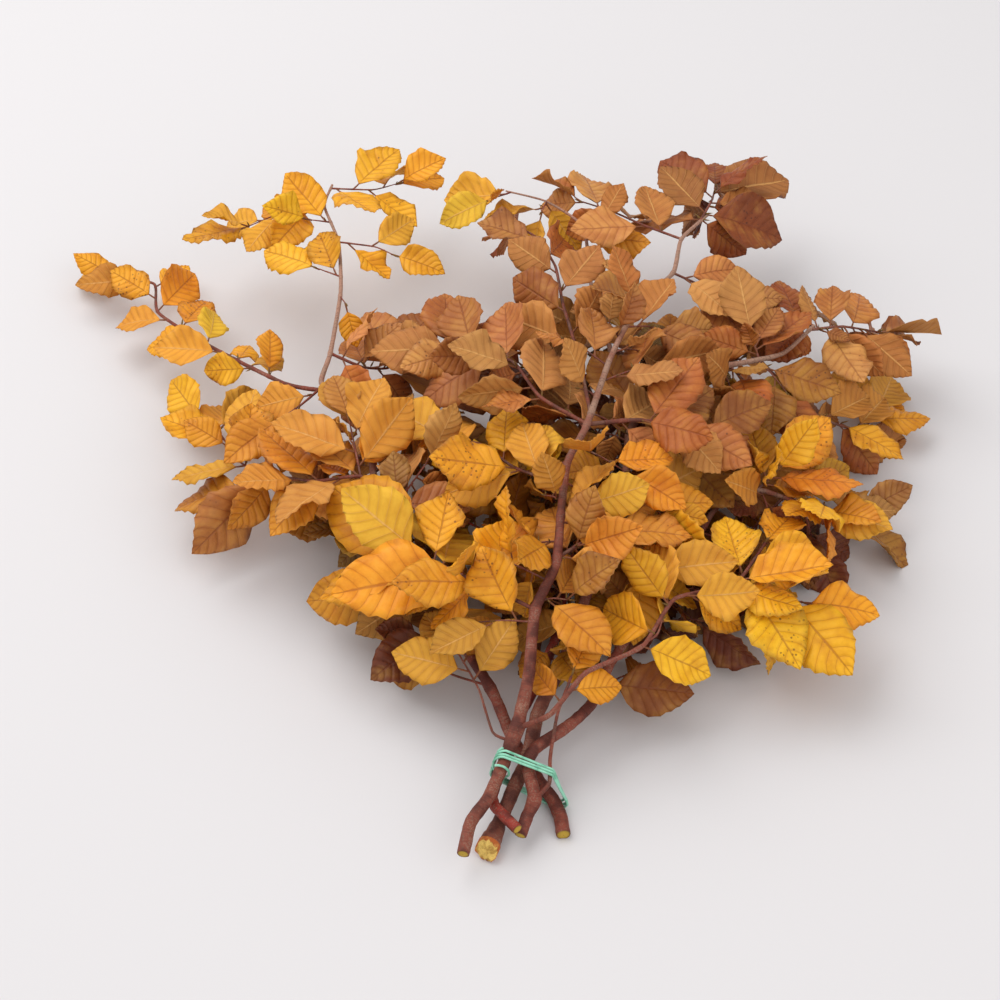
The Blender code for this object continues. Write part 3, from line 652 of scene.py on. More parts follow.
# One node tree being wired, of a material or of Geometry Nodes
class Bench:
    def __init__(self, tree):
        self.tree = tree

    def feed(self, socket, value):
        if isinstance(value, Wire):
            self.tree.links.new(value.socket, socket)
        else:
            socket.default_value = value

    def node(self, kind, settings=None, sockets=None, output=0):
        made = self.tree.nodes.new(kind)
        for name, value in (settings or {}).items():
            if name == "stops":
                ramp = made.color_ramp
                while len(ramp.elements) < len(value):
                    ramp.elements.new(0.5)
                for element, (place, colour) in zip(ramp.elements, value):
                    element.position = place
                    element.color = colour
            else:
                setattr(made, name, value)
        for name, value in (sockets or {}).items():
            self.feed(made.inputs[name], value)
        return Wire(self, made.outputs[output])

    def math(self, operation, *values):
        return self.node("ShaderNodeMath", {"operation": operation}, dict(enumerate(values)))

    def vector(self, operation, *values):
        return self.node("ShaderNodeVectorMath", {"operation": operation}, dict(enumerate(values)))

    def noise(self, dimensions, **sockets):
        return self.node("ShaderNodeTexNoise", {"noise_dimensions": dimensions}, sockets)

    # A node that changes a geometry
    def shape(self, kind, geometry, **sockets):
        return self.node("GeometryNode" + kind, {}, {"Geometry": geometry, **sockets})

    def stretched(self, wire, factor):
        return self.node("ShaderNodeVectorMath", {"operation": "SCALE"}, {0: wire, "Scale": factor})

    # 0 below low, 1 above high and a smooth step between them
    def step(self, value, low, high):
        return self.node("ShaderNodeMapRange", {"interpolation_type": "SMOOTHSTEP"},
                         {0: value, 1: low, 2: high, 3: 0.0, 4: 1.0})

    def blend(self, share, first, second, how="MIX"):
        return self.node("ShaderNodeMix", {"data_type": "RGBA", "blend_type": how},
                         {0: share, 6: first, 7: second}, 2)

    def given(self, name, kind="FLOAT"):
        return self.node("GeometryNodeInputNamedAttribute", {"data_type": kind}, {"Name": name})

    def store(self, geometry, name, value):
        return self.node("GeometryNodeStoreNamedAttribute", {"data_type": "FLOAT"},
                         {"Geometry": geometry, "Name": name, "Value": value})

    # A position kept at or above one height
    def above(self, spot, lowest):
        parts = [self.node("ShaderNodeSeparateXYZ", {}, {0: spot}, axis) for axis in range(3)]
        parts[2] = self.math("MAXIMUM", parts[2], lowest)
        return self.node("ShaderNodeCombineXYZ", {}, dict(enumerate(parts)))

    # A place moved from its own root by an amount along each of its three directions
    def moved(self, kind, amounts):
        spot = self.given(kind + "Root", "FLOAT_VECTOR")
        for direction, amount in zip(("Ahead", "Right", "Up"), amounts):
            step = self.stretched(self.given(kind + direction, "FLOAT_VECTOR"), amount)
            spot = self.vector("ADD", spot, step)
        return spot

    def kept(self, name, output="Fac"):
        return self.node("ShaderNodeAttribute", {"attribute_name": name}, {}, output)


# A colour as a screen shows it, from 0 to 255, as the linear one that Blender works with
def linear(red, green, blue):
    parts = [part / 255 for part in (red, green, blue)]
    return (*(p / 12.92 if p <= 0.04045 else ((p + 0.055) / 1.055) ** 2.4 for p in parts), 1.0)


# A Geometry Nodes tree with an input for each of the values. It gives the tree, its bench and the
# input wires
def ruleTree(name, values):
    tree = bpy.data.node_groups.new(name, "GeometryNodeTree")
    tree.interface.new_socket("Geometry", in_out="INPUT", socket_type="NodeSocketGeometry")
    for label, value in values.items():
        kind = {int: "Int", float: "Float"}.get(type(value), "Material")
        tree.interface.new_socket(label, in_out="INPUT", socket_type="NodeSocket" + kind)
    tree.interface.new_socket("Geometry", in_out="OUTPUT", socket_type="NodeSocketGeometry")
    bench = Bench(tree)
    start = tree.nodes.new("NodeGroupInput")
    wires = {socket.name: Wire(bench, socket) for socket in start.outputs if socket.name}
    return tree, bench, wires


# A small grid on every point of the carrier. Stored gives names to where each corner of it is, from
# its place across from -1 to 1 and along from 0 to 1
def gridCopies(bench, points, columns, rows, stored):
    grid = bench.node("GeometryNodeMeshGrid", {}, {"Size X": 2.0, "Size Y": 1.0, "Vertices X": columns,
                                                   "Vertices Y": rows})
    spot = bench.node("GeometryNodeInputPosition")
    across, upwards = [bench.node("ShaderNodeSeparateXYZ", {}, {0: spot}, axis) for axis in (0, 1)]
    for name, value in stored(across, upwards + 0.5).items():
        grid = bench.store(grid, name, value)
    copies = bench.node("GeometryNodeInstanceOnPoints", {}, {"Points": points, "Instance": grid})
    return bench.shape("RealizeInstances", copies)


def closeTree(bench, geometry, material):
    smooth = bench.node("GeometryNodeSetShadeSmooth", {}, {"Geometry": geometry, "Shade Smooth": True})
    painted = bench.shape("SetMaterial", bench.shape("RealizeInstances", smooth), Material=material)
    end = bench.tree.nodes.new("NodeGroupOutput")
    bench.feed(end.inputs[0], painted)


# A new material with its bench and the places of the piece's points
def newPaint(name):
    material = bpy.data.materials.new(name)
    material.use_nodes = True
    bench = Bench(material.node_tree)
    return material, bench, bench.node("ShaderNodeTexCoord", {}, {}, "Object")


# Wires a material up. The bump's depth is in metres
def closePaint(material, bench, colour, roughness, relief, strength, depth, shine=0.5):
    bump = bench.node("ShaderNodeBump", {}, {"Strength": strength, "Distance": depth,
                                             "Height": relief}, "Normal")
    shader = material.node_tree.nodes["Principled BSDF"]
    for name, value in (("Base Color", colour), ("Roughness", roughness), ("Normal", bump),
                        ("Specular IOR Level", shine)):
        bench.feed(shader.inputs[name], value)
    return material


# Points or lines with named values at each, which a tree turns into a piece
def carrierMesh(name, places, edges, numbers=None, vectors=None, colours=None):
    mesh = bpy.data.meshes.new(name)
    mesh.from_pydata(places, edges, [])
    for label, values in (numbers or {}).items():
        mesh.attributes.new(label, "FLOAT", "POINT").data.foreach_set("value", values)
    for label, values in (vectors or {}).items():
        flat = [part for value in values for part in value]
        mesh.attributes.new(label, "FLOAT_VECTOR", "POINT").data.foreach_set("vector", flat)
    for label, values in (colours or {}).items():
        flat = [part for value in values for part in (*value, 1.0)]
        mesh.attributes.new(label, "FLOAT_COLOR", "POINT").data.foreach_set("color", flat)
    return mesh


# Runs a tree on a carrier and gives the plain mesh that comes out, still in millimetres
def ruled(carrier, tree, values):
    helper = added("rule", carrier)
    rule = helper.modifiers.new("rule", "NODES")
    rule.node_group = tree
    for item in tree.interface.items_tree:
        if item.in_out == "INPUT" and item.name in values:
            rule[item.identifier] = values[item.name]
    mesh = plainMesh(helper)
    helper.modifiers.remove(rule)
    bpy.data.objects.remove(helper)
    bpy.data.meshes.remove(carrier)
    return mesh


def finishedPiece(name, mesh, slot, *nodes):
    mesh.transform(toMetres)
    mesh.update()
    piece = added(name, mesh)
    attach(piece, "root")
    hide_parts(*nodes)
    print(name, len(mesh.polygons), "faces")
    return piece


# Leaf colours, as seen in daylight
leafPalette = {
    "gold": linear(246, 174, 28),
    "amber": linear(224, 144, 32),
    "copper": linear(176, 94, 38),
    "tan": linear(198, 134, 72),
    "olive": linear(152, 126, 34),
    "russet": linear(132, 62, 32),
    "plum": linear(66, 34, 30),
    # umber is the painted shade that leaves lying under others are mixed towards
    "umber": linear(92, 46, 24),
}

# The two colours of the leaves of each twig, the first one more often, with the twigs that have them
twigColours = {
    "centre_branch": {
        "copper tan": "fork upper_right",
        "russet copper": "top",
        "tan copper": "top_left upper_left back_left right",
        "gold amber": "left lower_left front_right front_low low_thin",
        "gold gold": "front_far",
        "amber gold": "middle_stub",
        "amber tan": "right_low",
    },
    "right_branch": {
        "copper russet": "tip_left",
        "copper tan": "tip_right middle_up",
        "copper gold": "right_low",
        "copper olive": "middle_low",
        "gold amber": "inner_gold",
        "gold gold": "low_gold",
        "amber tan": "under_right",
    },
    "left_branch": {
        "gold amber": "top_right top_left right_thin far_left twin_left low_thin",
        "gold gold": "side_leaves side_upper stem_leaf",
        "copper amber": "mid_left",
        "amber tan": "inner_left tall_twig",
        "tan amber": "right_tan mid_right",
        "olive amber": "low_olive",
        "tan copper": "upper_mid",
    },
    "middle_branch": {
        "copper amber": "top_brown left_small",
        "gold amber": "top_gold tip",
        "gold gold": "mid_gold low_front",
        "copper russet": "red_left",
        "gold olive": "gold_left",
        "amber gold": "low_left low_middle",
        "russet copper": "brown_right",
        "amber copper": "upper_right",
        "russet plum": "upper_left",
    },
    "lower_right_branch": {
        "amber gold": "knuckle upright hub",
        "amber tan": "right_tip",
        "russet amber": "under low_brown mid_dark",
        "russet copper": "under_far",
        "russet plum": "low_dark",
    },
}

leafLook = {
    "shape": {                      # inputs of the tree
        "Width Ratio": leafWidthRatio,  # width against length
        "Stalk Length": petioleLength,  # mm
        "Stalk Radius": 0.55,       # mm
        "Columns": 9,               # points across the blade
        "Vein Lean": 0.62,          # how far the side veins lean towards the tip
        "Pleat Depth": 0.016,       # of the blade's length
        "Scallop Depth": 0.03,      # of the half width
        "Crinkle": 0.13,            # of the blade's length
        "Tip Half Width": 0.25,     # mm
    },
    "stalkRows": 3,
    "veinPairs": 8,                 # with two rows of points for each
    "thickness": 0.36,              # mm
    "colourSpread": 0.13,           # chance change of the brightness
    "warmSpread": 0.06,             # chance change of the green part
    "brightest": 0.9,
    "firstMore": 1.7,               # above 1 a twig's first colour is the commoner one
    "greenMore": 1.5,               # above 1 most leaves have little dry edge
    "shadeBelow": 42.0,              # mm above the surface, below which a spur's leaves take dark colours as painted shade
    "overBy": 15.0,                 # mm that another leaf's root is higher, to stand over one
    "overReach": 45.0,              # mm sideways
    "coverShadeStep": 0.07,               # painted shade for each leaf over one, as a share of the mix towards umber
    "coverShadeMost": 0.6,
    "undersideShare": 0.3,          # share of the leaves that lie face down
    "seed": 5,
}


# The tree that bends a grid into each leaf's blade and stalk, from the values at the leaf's root
def leafTree(values):
    tree, bench, given = ruleTree("leafBlades", values)
    share = given["Stalk Share"]
    sheet = gridCopies(bench, given["Geometry"], given["Columns"], given["Rows"],
                       lambda across, upwards: {"bladeAcross": across,
                                                "bladeAlong": upwards * (1 + share) - share})

    def outline(place):
        swell = bench.math("MAXIMUM", bench.math("SINE", math.pi * place ** bladeShift), 0.0)
        return swell ** (bladeFullness + bladeTaper * place)

    # A row of the grid follows one side vein, so it reaches further up the blade at the margin
    side = bench.given("bladeAcross")
    along = bench.given("bladeAlong")
    length = bench.given("leafLength")
    bend = bench.given("leafBend")
    vein = bench.math("MAXIMUM", along, 0.0)
    halfRatio = 0.5 * given["Width Ratio"]
    place = bench.math("MINIMUM", vein + given["Vein Lean"] * abs(side) * halfRatio * outline(vein), 1.0)
    ripple = bench.math("COSINE", vein * given["Vein Pairs"] * math.tau)
    spread = bench.node("ShaderNodeCombineXYZ", {}, {0: side * 0.8, 1: place * 2.2})
    chance = bench.noise("4D", Vector=spread, W=bench.given("leafSeed") * 50, Scale=1.6, Detail=1.0)
    chance = (chance - 0.5) * 2
    half = halfRatio * outline(place) * (1 + given["Scallop Depth"] * ripple * abs(side))
    half = half * (1 + 0.3 * chance * abs(side))
    sideways = side * bench.math("MAXIMUM", half * length, given["Tip Half Width"])
    wave = bench.given("leafWave") * bench.math(
        "SINE", bench.given("leafWaves") * math.pi * place + bench.given("leafPhase") + waveLag * side)
    lift = bench.given("leafFold") * abs(sideways)
    lift = lift - bench.given("leafCurl") * sideways * sideways / length
    lift = lift + wave * side * side * outline(place)
    lift = lift - bend * length * 0.5 * place * place
    lift = lift - given["Pleat Depth"] * length * ripple * outline(vein) * abs(side) ** 0.5
    lift = lift + given["Crinkle"] * length * chance * outline(place) * (0.25 + side * side)
    turn = bench.given("leafTwist") * place
    lift = lift + sideways * bench.math("SINE", turn)
    sideways = sideways * bench.math("COSINE", turn)

    # The stalk is the same sheet rolled to a tube, which opens into the blade
    rolled = 1 - bench.step(along, -0.02, 0.05)
    angle = side * (0.92 * math.pi)
    tube = given["Stalk Radius"]
    sideways = sideways * (1 - rolled) + tube * bench.math("SINE", angle) * rolled
    lift = lift * (1 - rolled) + tube * bench.math("COSINE", angle) * rolled - tube * rolled
    stalk = bench.math("MINIMUM", along / share + 1, 1.0)
    shortened = 1 - bendShortening * abs(bend) * place
    reach = given["Stalk Length"] * stalk + length * place * shortened

    sheet = bench.store(sheet, "veinPlace", vein)
    spot = bench.above(bench.moved("leaf", (reach, sideways, lift)), 0.5)
    closeTree(bench, bench.shape("SetPosition", sheet, Position=spot), given["Material"])
    return tree


# The skin of one side of the leaves. The under side is the paler one, or the upper side where a
# leaf lies face down
def leafMaterial(name, under):
    material, bench, place = newPaint(name)
    base = bench.kept("leafColour", "Color")
    seed = bench.kept("leafSeed")
    dry = bench.kept("leafDry")
    side = abs(bench.kept("bladeAcross"))
    along = bench.kept("bladeAlong")
    flipped = bench.kept("leafFlip")
    pale = 1 - flipped if under else flipped

    cloud = bench.noise("4D", Vector=place, W=seed * 9, Scale=70.0, Detail=4.0, Roughness=0.6)
    fine = bench.noise("3D", Vector=place, Scale=900.0, Detail=3.0)
    veinRun = bench.kept("veinPlace") * leafLook["veinPairs"]
    veinGap = abs(bench.math("FRACT", veinRun) - 0.5) * 2
    veinLine = bench.step(veinGap, 0.88, 0.99) * bench.step(along, 0.0, 0.05)
    rib = 1 - bench.step(side, 0.012, 0.03 + 0.06 * along)
    ribs = bench.math("MAXIMUM", rib, veinLine * 0.5)
    # Bands along the side veins, where the blade is pleated: they set the bump and a painted shade in the
    # creases
    pleat = bench.step(veinGap, 0.35, 0.95)

    deep = bench.blend(0.6, base, linear(176, 92, 46), "MULTIPLY")
    colour = bench.blend(bench.step(cloud, 0.42, 0.72) * 0.6, base, deep)
    bright = bench.blend(0.4, base, linear(246, 192, 84))
    colour = bench.blend(bench.step(1 - cloud, 0.46, 0.75) * 0.45, colour, bright)
    edge = bench.step(side + along * 0.25 + (cloud - 0.5) * 1.1, 1.10 - dry * 0.45, 1.35)
    brown = bench.blend(0.7, base, linear(104, 50, 24))
    colour = bench.blend(edge * (0.25 + dry * 0.6), colour, brown)
    spots = bench.node("ShaderNodeTexVoronoi", {}, {"Vector": place, "Scale": 260.0}, "Distance")
    spotted = (1 - bench.step(spots, 0.12, 0.30)) * bench.step(cloud + dry * 0.3, 0.66, 0.84)
    colour = bench.blend(spotted * 0.75, colour, linear(70, 34, 22))
    paleBase = bench.blend(0.30, base, linear(216, 162, 84))
    paleBase = bench.blend(bench.step(cloud, 0.40, 0.75) * 0.4, paleBase, deep)
    colour = bench.blend(pale, colour, paleBase)
    ribColour = bench.blend(0.5, deep, linear(128, 66, 40))
    ribColour = bench.blend(pale, ribColour, linear(232, 176, 104))
    # Painted shade: darker in bands along the veins, in the pleats' creases
    colour = bench.blend(pleat * 0.22, colour, deep)
    colour = bench.blend(ribs * 0.6, colour, ribColour)
    stalk = 1 - bench.step(along, -0.01, 0.02)
    colour = bench.blend(stalk, colour, linear(132, 78, 48))

    relief = cloud * 0.4 + fine * 0.25 - (ribs * 0.7 + pleat * 0.6) * (1 - 2 * pale)
    return closePaint(material, bench, colour, 0.40 + fine * 0.16 + pale * 0.16, relief,
                      0.7, 0.0009, 0.28)


# A twig's own colours. A spur has those of the twig whose middle is nearest to it, or dark ones as
# painted shade where it is low in the bunch
def colourNames(node, name, kept):
    if name not in branches[node]["twigs"]:
        spot = kept[0]["root"]
        # Painted shade: a spur low in the bunch gets dark leaf colours
        if spot.z < leafLook["shadeBelow"]:
            return "russet", "plum"
        middles = {twig: line[len(line) // 2] for twig, line in twigLines(branches[node]).items()}
        name = min(middles, key=lambda twig: (middles[twig] - spot).length)
    return next(pair.split() for pair, twigs in twigColours[node].items() if name in twigs.split())


# How much painted shade a leaf gets, as a share of a mix towards umber, from the number of leaves over it
def coverShade(leaf, every):
    spot = leaf["root"]
    over = sum(other["root"].z > spot.z + leafLook["overBy"]
               and (other["root"] - spot).xy.length < leafLook["overReach"] for other in every)
    return min(over * leafLook["coverShadeStep"], leafLook["coverShadeMost"])


# Both colours of a twig mixed by chance and darkened towards umber by painted shade from the leaves over
# it, then made a little lighter or darker
def leafColour(looks, names, brown):
    first, second, coverShadeBrown = [Vector(leafPalette[name][:3]) for name in (*names, "umber")]
    mix = looks.random() ** leafLook["firstMore"]
    light = 1 + looks.gauss(0, leafLook["colourSpread"])
    warm = 1 + looks.gauss(0, leafLook["warmSpread"])
    # brown is the share of painted shade from the leaves over this one
    red, green, blue = first.lerp(second, mix).lerp(coverShadeBrown, brown) * light
    return [min(part, leafLook["brightest"]) for part in (red, green * warm, blue)]


def makeLeaves(leaves, upper, lower):
    looks = random.Random(leafLook["seed"])
    bladeRowCount = 2 * leafLook["veinPairs"]
    values = {**leafLook["shape"], "Rows": leafLook["stalkRows"] + bladeRowCount + 1,
              "Stalk Share": leafLook["stalkRows"] / bladeRowCount,
              "Vein Pairs": float(leafLook["veinPairs"]), "Material": upper}
    tree = leafTree(values)
    every = allLeaves(leaves)
    for node, twigs in leaves.items():
        found = [(leaf, colourNames(node, name, kept)) for name, kept in twigs.items() for leaf in kept]
        rows = [leaf for leaf, names in found]
        numbers = {"leaf" + key.capitalize(): [leaf[key] for leaf in rows]
                   for key in ("length", "bend", "fold", "curl", "wave", "waves", "phase", "twist")}
        numbers["leafSeed"] = [looks.random() for leaf in rows]
        numbers["leafDry"] = [looks.random() ** leafLook["greenMore"] for leaf in rows]
        numbers["leafFlip"] = [float(looks.random() < leafLook["undersideShare"]) for leaf in rows]
        vectors = {"leaf" + key.capitalize(): [leaf[key] for leaf in rows]
                   for key in ("root", "ahead", "right", "up")}
        colours = {"leafColour": [leafColour(looks, names, coverShade(leaf, every))
                                  for leaf, names in found]}
        carrier = carrierMesh(node + "Leaves", [tuple(leaf["root"]) for leaf in rows], [],
                              numbers, vectors, colours)
        mesh = ruled(carrier, tree, values)
        mesh.materials.append(lower)
        piece = finishedPiece(node + "_leaves", mesh, "autumn_leaf", node)
        wall = piece.modifiers.new("thickness", "SOLIDIFY")
        wall.thickness = leafLook["thickness"] / 1000
        wall.offset = 0.0
        wall.material_offset = 1
        wall.material_offset_rim = 1


woodLook = {
    "stemSides": 14,
    "twigSides": 8,
    "pointStep": 3.0,        # mm between rings of points
    "ease": 0.3,             # how far a bend is rounded
    "swelling": 0.16,        # thicker at a node, of the radius
    "swellingReach": 0.9,    # of the radius
    "thickest": 1.16,        # of the radius, where several nodes are close
    "waist": 0.04,           # thinner between the nodes, of the radius
    "greyHeight": 500.0,     # mm up the bunch where a stem is greyest
    "twigGrey": 0.35,
    "knobDepth": 0.12,       # of the radius
    "uneven": 0.035,         # chance change of the radius from ring to ring
    "lowest": 0.2,           # mm above the surface
    "cutRings": 5,
    "cutInset": (0.93, 1.03),    # the face of a cut end and of a torn one, of the radius
    "cutRough": (0.03, 0.14),
    "cutDome": 0.12,
    "cutSkirt": -0.3,        # how far the face's edge goes back into the bark
    "tear": 0.85,            # how far the torn end reaches out on one side, of its radius
    "tearWaves": 0.14,
    "redness": {"middle_branch": 0.9, "lower_right_branch": 0.3, "left_branch": 0.35,
                "right_branch": 0.05, "centre_branch": 0.2},
    "slimmer": 0.25,         # mm taken off the solid's radius
    "seed": 3,
}


# A point of a smooth curve through four route points, between the middle two
def smoothPoint(before, start, end, after, share):
    first = (end - before) * woodLook["ease"]
    second = (after - start) * woodLook["ease"]
    cube = share ** 3
    square = share ** 2
    return (start * (2 * cube - 3 * square + 1) + first * (cube - 2 * square + share)
            + end * (3 * square - 2 * cube) + second * (cube - square))


# The places and radii of a stem's or twig's rings. It is thicker where twigs or leaves grow from it
def smoothRoute(route, nodes, chance):
    points = [Vector(point[:3]) for point in route]
    points = [points[0] * 2 - points[1]] + points + [points[-1] * 2 - points[-2]]
    radii = [point[3] for point in route]
    made = []
    for index in range(len(route) - 1):
        before, start, end, after = points[index:index + 4]
        count = max(2, round((end - start).length / woodLook["pointStep"]))
        for part in range(count + (index == len(route) - 2)):
            share = part / count
            spot = smoothPoint(before, start, end, after, share)
            radius = radii[index] + (radii[index + 1] - radii[index]) * share - woodLook["slimmer"]
            near = [(spot - node).length / (radius * woodLook["swellingReach"]) for node in nodes]
            thicker = 1 + woodLook["swelling"] * sum(math.exp(-gap * gap) for gap in near)
            thicker = min(thicker, woodLook["thickest"]) - woodLook["waist"]
            thicker += chance.uniform(-1, 1) * woodLook["uneven"]
            made.append((spot, radius * thicker))
    return made


# The tree that makes a round tube of each route, a little uneven
def tubeTree(values):
    tree, bench, given = ruleTree("tubes", values)
    line = bench.node("GeometryNodeMeshToCurve", {}, {"Mesh": given["Geometry"]})
    ring = bench.node("GeometryNodeCurvePrimitiveCircle", {}, {"Resolution": given["Sides"],
                                                               "Radius": 1.0})
    tube = bench.node("GeometryNodeCurveToMesh", {}, {"Curve": line, "Profile Curve": ring,
                                                      "Scale": bench.given("thickness"),
                                                      "Fill Caps": True})
    spot = bench.node("GeometryNodeInputPosition")
    noise = bench.noise("3D", Vector=spot, Scale=0.17, Detail=2.0)
    push = (noise - 0.5) * 2 * given["Knob Depth"] * bench.given("thickness")
    outwards = bench.node("GeometryNodeInputNormal")
    tube = bench.shape("SetPosition", tube, Offset=bench.stretched(outwards, push))
    tube = bench.shape("SetPosition", tube, Position=bench.above(spot, given["Lowest"]))
    closeTree(bench, tube, given["Material"])
    return tree


def barkMaterial():
    material, bench, place = newPaint("beechBark")
    thickness = bench.kept("thickness")
    height = bench.kept("upTheStem")
    broad = bench.noise("3D", Vector=place, Scale=60.0, Detail=4.0)
    grain = bench.noise("3D", Vector=place, Scale=800.0, Detail=5.0)
    rings = bench.noise("1D", W=bench.kept("runLength") * 0.9, Scale=1.0, Detail=3.0)
    pores = bench.node("ShaderNodeTexVoronoi", {}, {"Vector": place, "Scale": 560.0}, "Distance")
    pores = (1 - bench.step(pores, 0.06, 0.20)) * bench.step(thickness, 1.4, 3.0)
    pores = pores * bench.step(grain, 0.46, 0.56)
    dark = linear(70, 34, 30)
    colour = bench.blend(bench.kept("redness"), linear(128, 74, 58), linear(150, 52, 40))
    colour = bench.blend(bench.step(broad, 0.46, 0.60) * 0.7, colour, dark)
    old = bench.step(height + (broad - 0.5) * 0.9, 0.34, 0.74)
    peel = bench.step(1 - broad + (grain - 0.5) * 1.4, 0.58, 0.72) * 0.36
    colour = bench.blend(bench.math("MAXIMUM", old * 0.6, peel), colour, linear(194, 158, 134))
    colour = bench.blend(bench.step(rings, 0.56, 0.66) * 0.35, colour, dark)
    colour = bench.blend(pores * 0.45, colour, linear(188, 152, 120))
    colour = bench.blend(bench.step(grain, 0.50, 0.70) * 0.5, colour, linear(52, 24, 20))
    relief = grain * 0.7 + broad * 0.5 + pores * 0.4 - rings * 0.6
    return closePaint(material, bench, colour, 0.52 + grain * 0.25, relief, 0.6, 0.0008, 0.25)


# Cut wood: yellow with darker rings and a brown rim, and paler where it is torn. ringShare runs from
# the pith to the rim
def cutMaterial():
    material, bench, place = newPaint("cutWood")
    ring = bench.kept("ringShare")
    grain = bench.noise("3D", Vector=place, Scale=1400.0, Detail=4.0)
    torn = bench.kept("tornShare")
    colour = bench.node("ShaderNodeValToRGB", {"stops": [
        (0.0, linear(110, 78, 30)), (0.12, linear(196, 160, 52)),
        (0.7, linear(180, 146, 44)), (0.92, linear(128, 96, 34)),
        (1.0, linear(78, 44, 26))]}, {"Fac": ring + (grain - 0.5) * 0.16})
    rough = bench.noise("3D", Vector=place, Scale=260.0, Detail=5.0)
    broken = bench.blend(bench.step(rough, 0.45, 0.62) * 0.7, linear(236, 198, 104),
                         linear(168, 118, 46))
    broken = bench.blend(bench.step(ring + (rough - 0.5) * 0.3, 0.86, 1.0), broken,
                         linear(184, 92, 34))
    colour = bench.blend(torn, colour, broken)
    colour = bench.blend(bench.step(grain, 0.5, 0.75) * 0.4, colour, linear(140, 98, 40))
    return closePaint(material, bench, colour, 0.7 + grain * 0.15, grain * 0.4 + rough * torn * 3,
                      0.6, 0.0006)


# An uneven disc over a cut end. A torn end reaches further out on its lower side
def cutFace(work, route, chance, torn):
    centre, radius = route[0]
    ahead = (route[0][0] - route[1][0]).normalized()
    across = ahead.cross(Vector((0, 0, 1))).normalized()
    over = across.cross(ahead)
    ringLayer = work.verts.layers.float["ringShare"]
    tornLayer = work.verts.layers.float["tornShare"]
    inset = woodLook["cutInset"][torn]
    rough = woodLook["cutRough"][torn]
    sides = woodLook["stemSides"] * 2
    rings = woodLook["cutRings"]
    last = None
    for ring in range(rings + 2):
        share = min(ring / rings, 1.0)
        current = []
        for part in range(sides if ring else 1):
            angle = math.tau * part / sides
            flat = across * math.cos(angle) - over * math.sin(angle)
            spot = centre + flat * radius * share * inset
            rise = woodLook["cutDome"] * (1 - share * share)
            rise += chance.uniform(-rough, rough) * (0.4 + share)
            if torn:
                rise += woodLook["tear"] * (0.5 - 0.5 * flat.dot(over) * share)
                rise += woodLook["tearWaves"] * math.sin(3 * angle + 1) * share
            if ring > rings:
                rise = woodLook["cutSkirt"]
            spot += ahead * rise * radius
            spot.z = max(spot.z, woodLook["lowest"])
            corner = work.verts.new(spot)
            corner[ringLayer] = share
            corner[tornLayer] = float(torn)
            current.append(corner)
        for part in range(sides if ring else 0):
            follow = (part + 1) % sides
            if ring == 1:
                face = work.faces.new((last[0], current[part], current[follow]))
            else:
                face = work.faces.new((last[part], current[part], current[follow], last[follow]))
            face.material_index = 1
            face.smooth = ring <= rings
        last = current


budLook = {
    "length": (4.0, 8.5),    # mm
    "shape": {"Sides": 6, "Rows": 5, "Width": 0.2},    # inputs of the tree, Width against the length
    "everyLeaf": 0.45,       # share of the leaf roots with a bud
    "bark": {"thickness": 1.2, "redness": 0.5, "upTheStem": 0.3},    # values for the bark's look
}


# The tree that rolls a small grid to a pointed bud at every point of the carrier
def budTree(values):
    tree, bench, given = ruleTree("buds", values)
    sheet = gridCopies(bench, given["Geometry"], given["Sides"], given["Rows"],
                       lambda across, upwards: {"budRound": across * math.pi, "budAlong": upwards})
    length = bench.given("budLength")
    share = bench.given("budAlong")
    swell = bench.math("MAXIMUM", bench.math("SINE", math.pi * share ** 0.7), 0.0) ** 0.8
    radius = 0.5 * given["Width"] * length * swell
    angle = bench.given("budRound")
    spot = bench.moved("bud", (length * share, radius * bench.math("COSINE", angle),
                               radius * bench.math("SINE", angle)))
    sheet = bench.shape("SetPosition", sheet, Position=bench.above(spot, 0.3))
    closeTree(bench, bench.shape("MergeByDistance", sheet, Distance=0.01), given["Material"])
    return tree


# Buds at the twig tips and beside some of the leaf stalks
def budMesh(node, buds, twigs, lines, chance):
    rows = []
    for line in lines.values():
        rows.append((line[-1], (line[-1] - line[-2]).normalized(), budLook["length"][1]))
    for kept in twigs.values():
        for leaf in kept:
            if chance.random() < budLook["everyLeaf"]:
                ahead = (leaf["ahead"] + leaf["up"] * 0.8 + leaf["right"] * chance.uniform(-0.6, 0.6))
                rows.append((leaf["root"], ahead.normalized(), chance.uniform(*budLook["length"])))
    roots, aheads, lengths = zip(*rows)
    rights = [ahead.orthogonal().normalized() for ahead in aheads]
    vectors = {"budRoot": roots, "budAhead": aheads, "budRight": rights,
               "budUp": [right.cross(ahead) for right, ahead in zip(rights, aheads)]}
    numbers = {"budLength": list(lengths)}
    for label, value in budLook["bark"].items():
        numbers[label] = [value] * len(rows)
    carrier = carrierMesh(node + "Buds", [tuple(root) for root in roots], [], numbers, vectors)
    return ruled(carrier, *buds)


def join(work, mesh):
    work.from_mesh(mesh)
    bpy.data.meshes.remove(mesh)


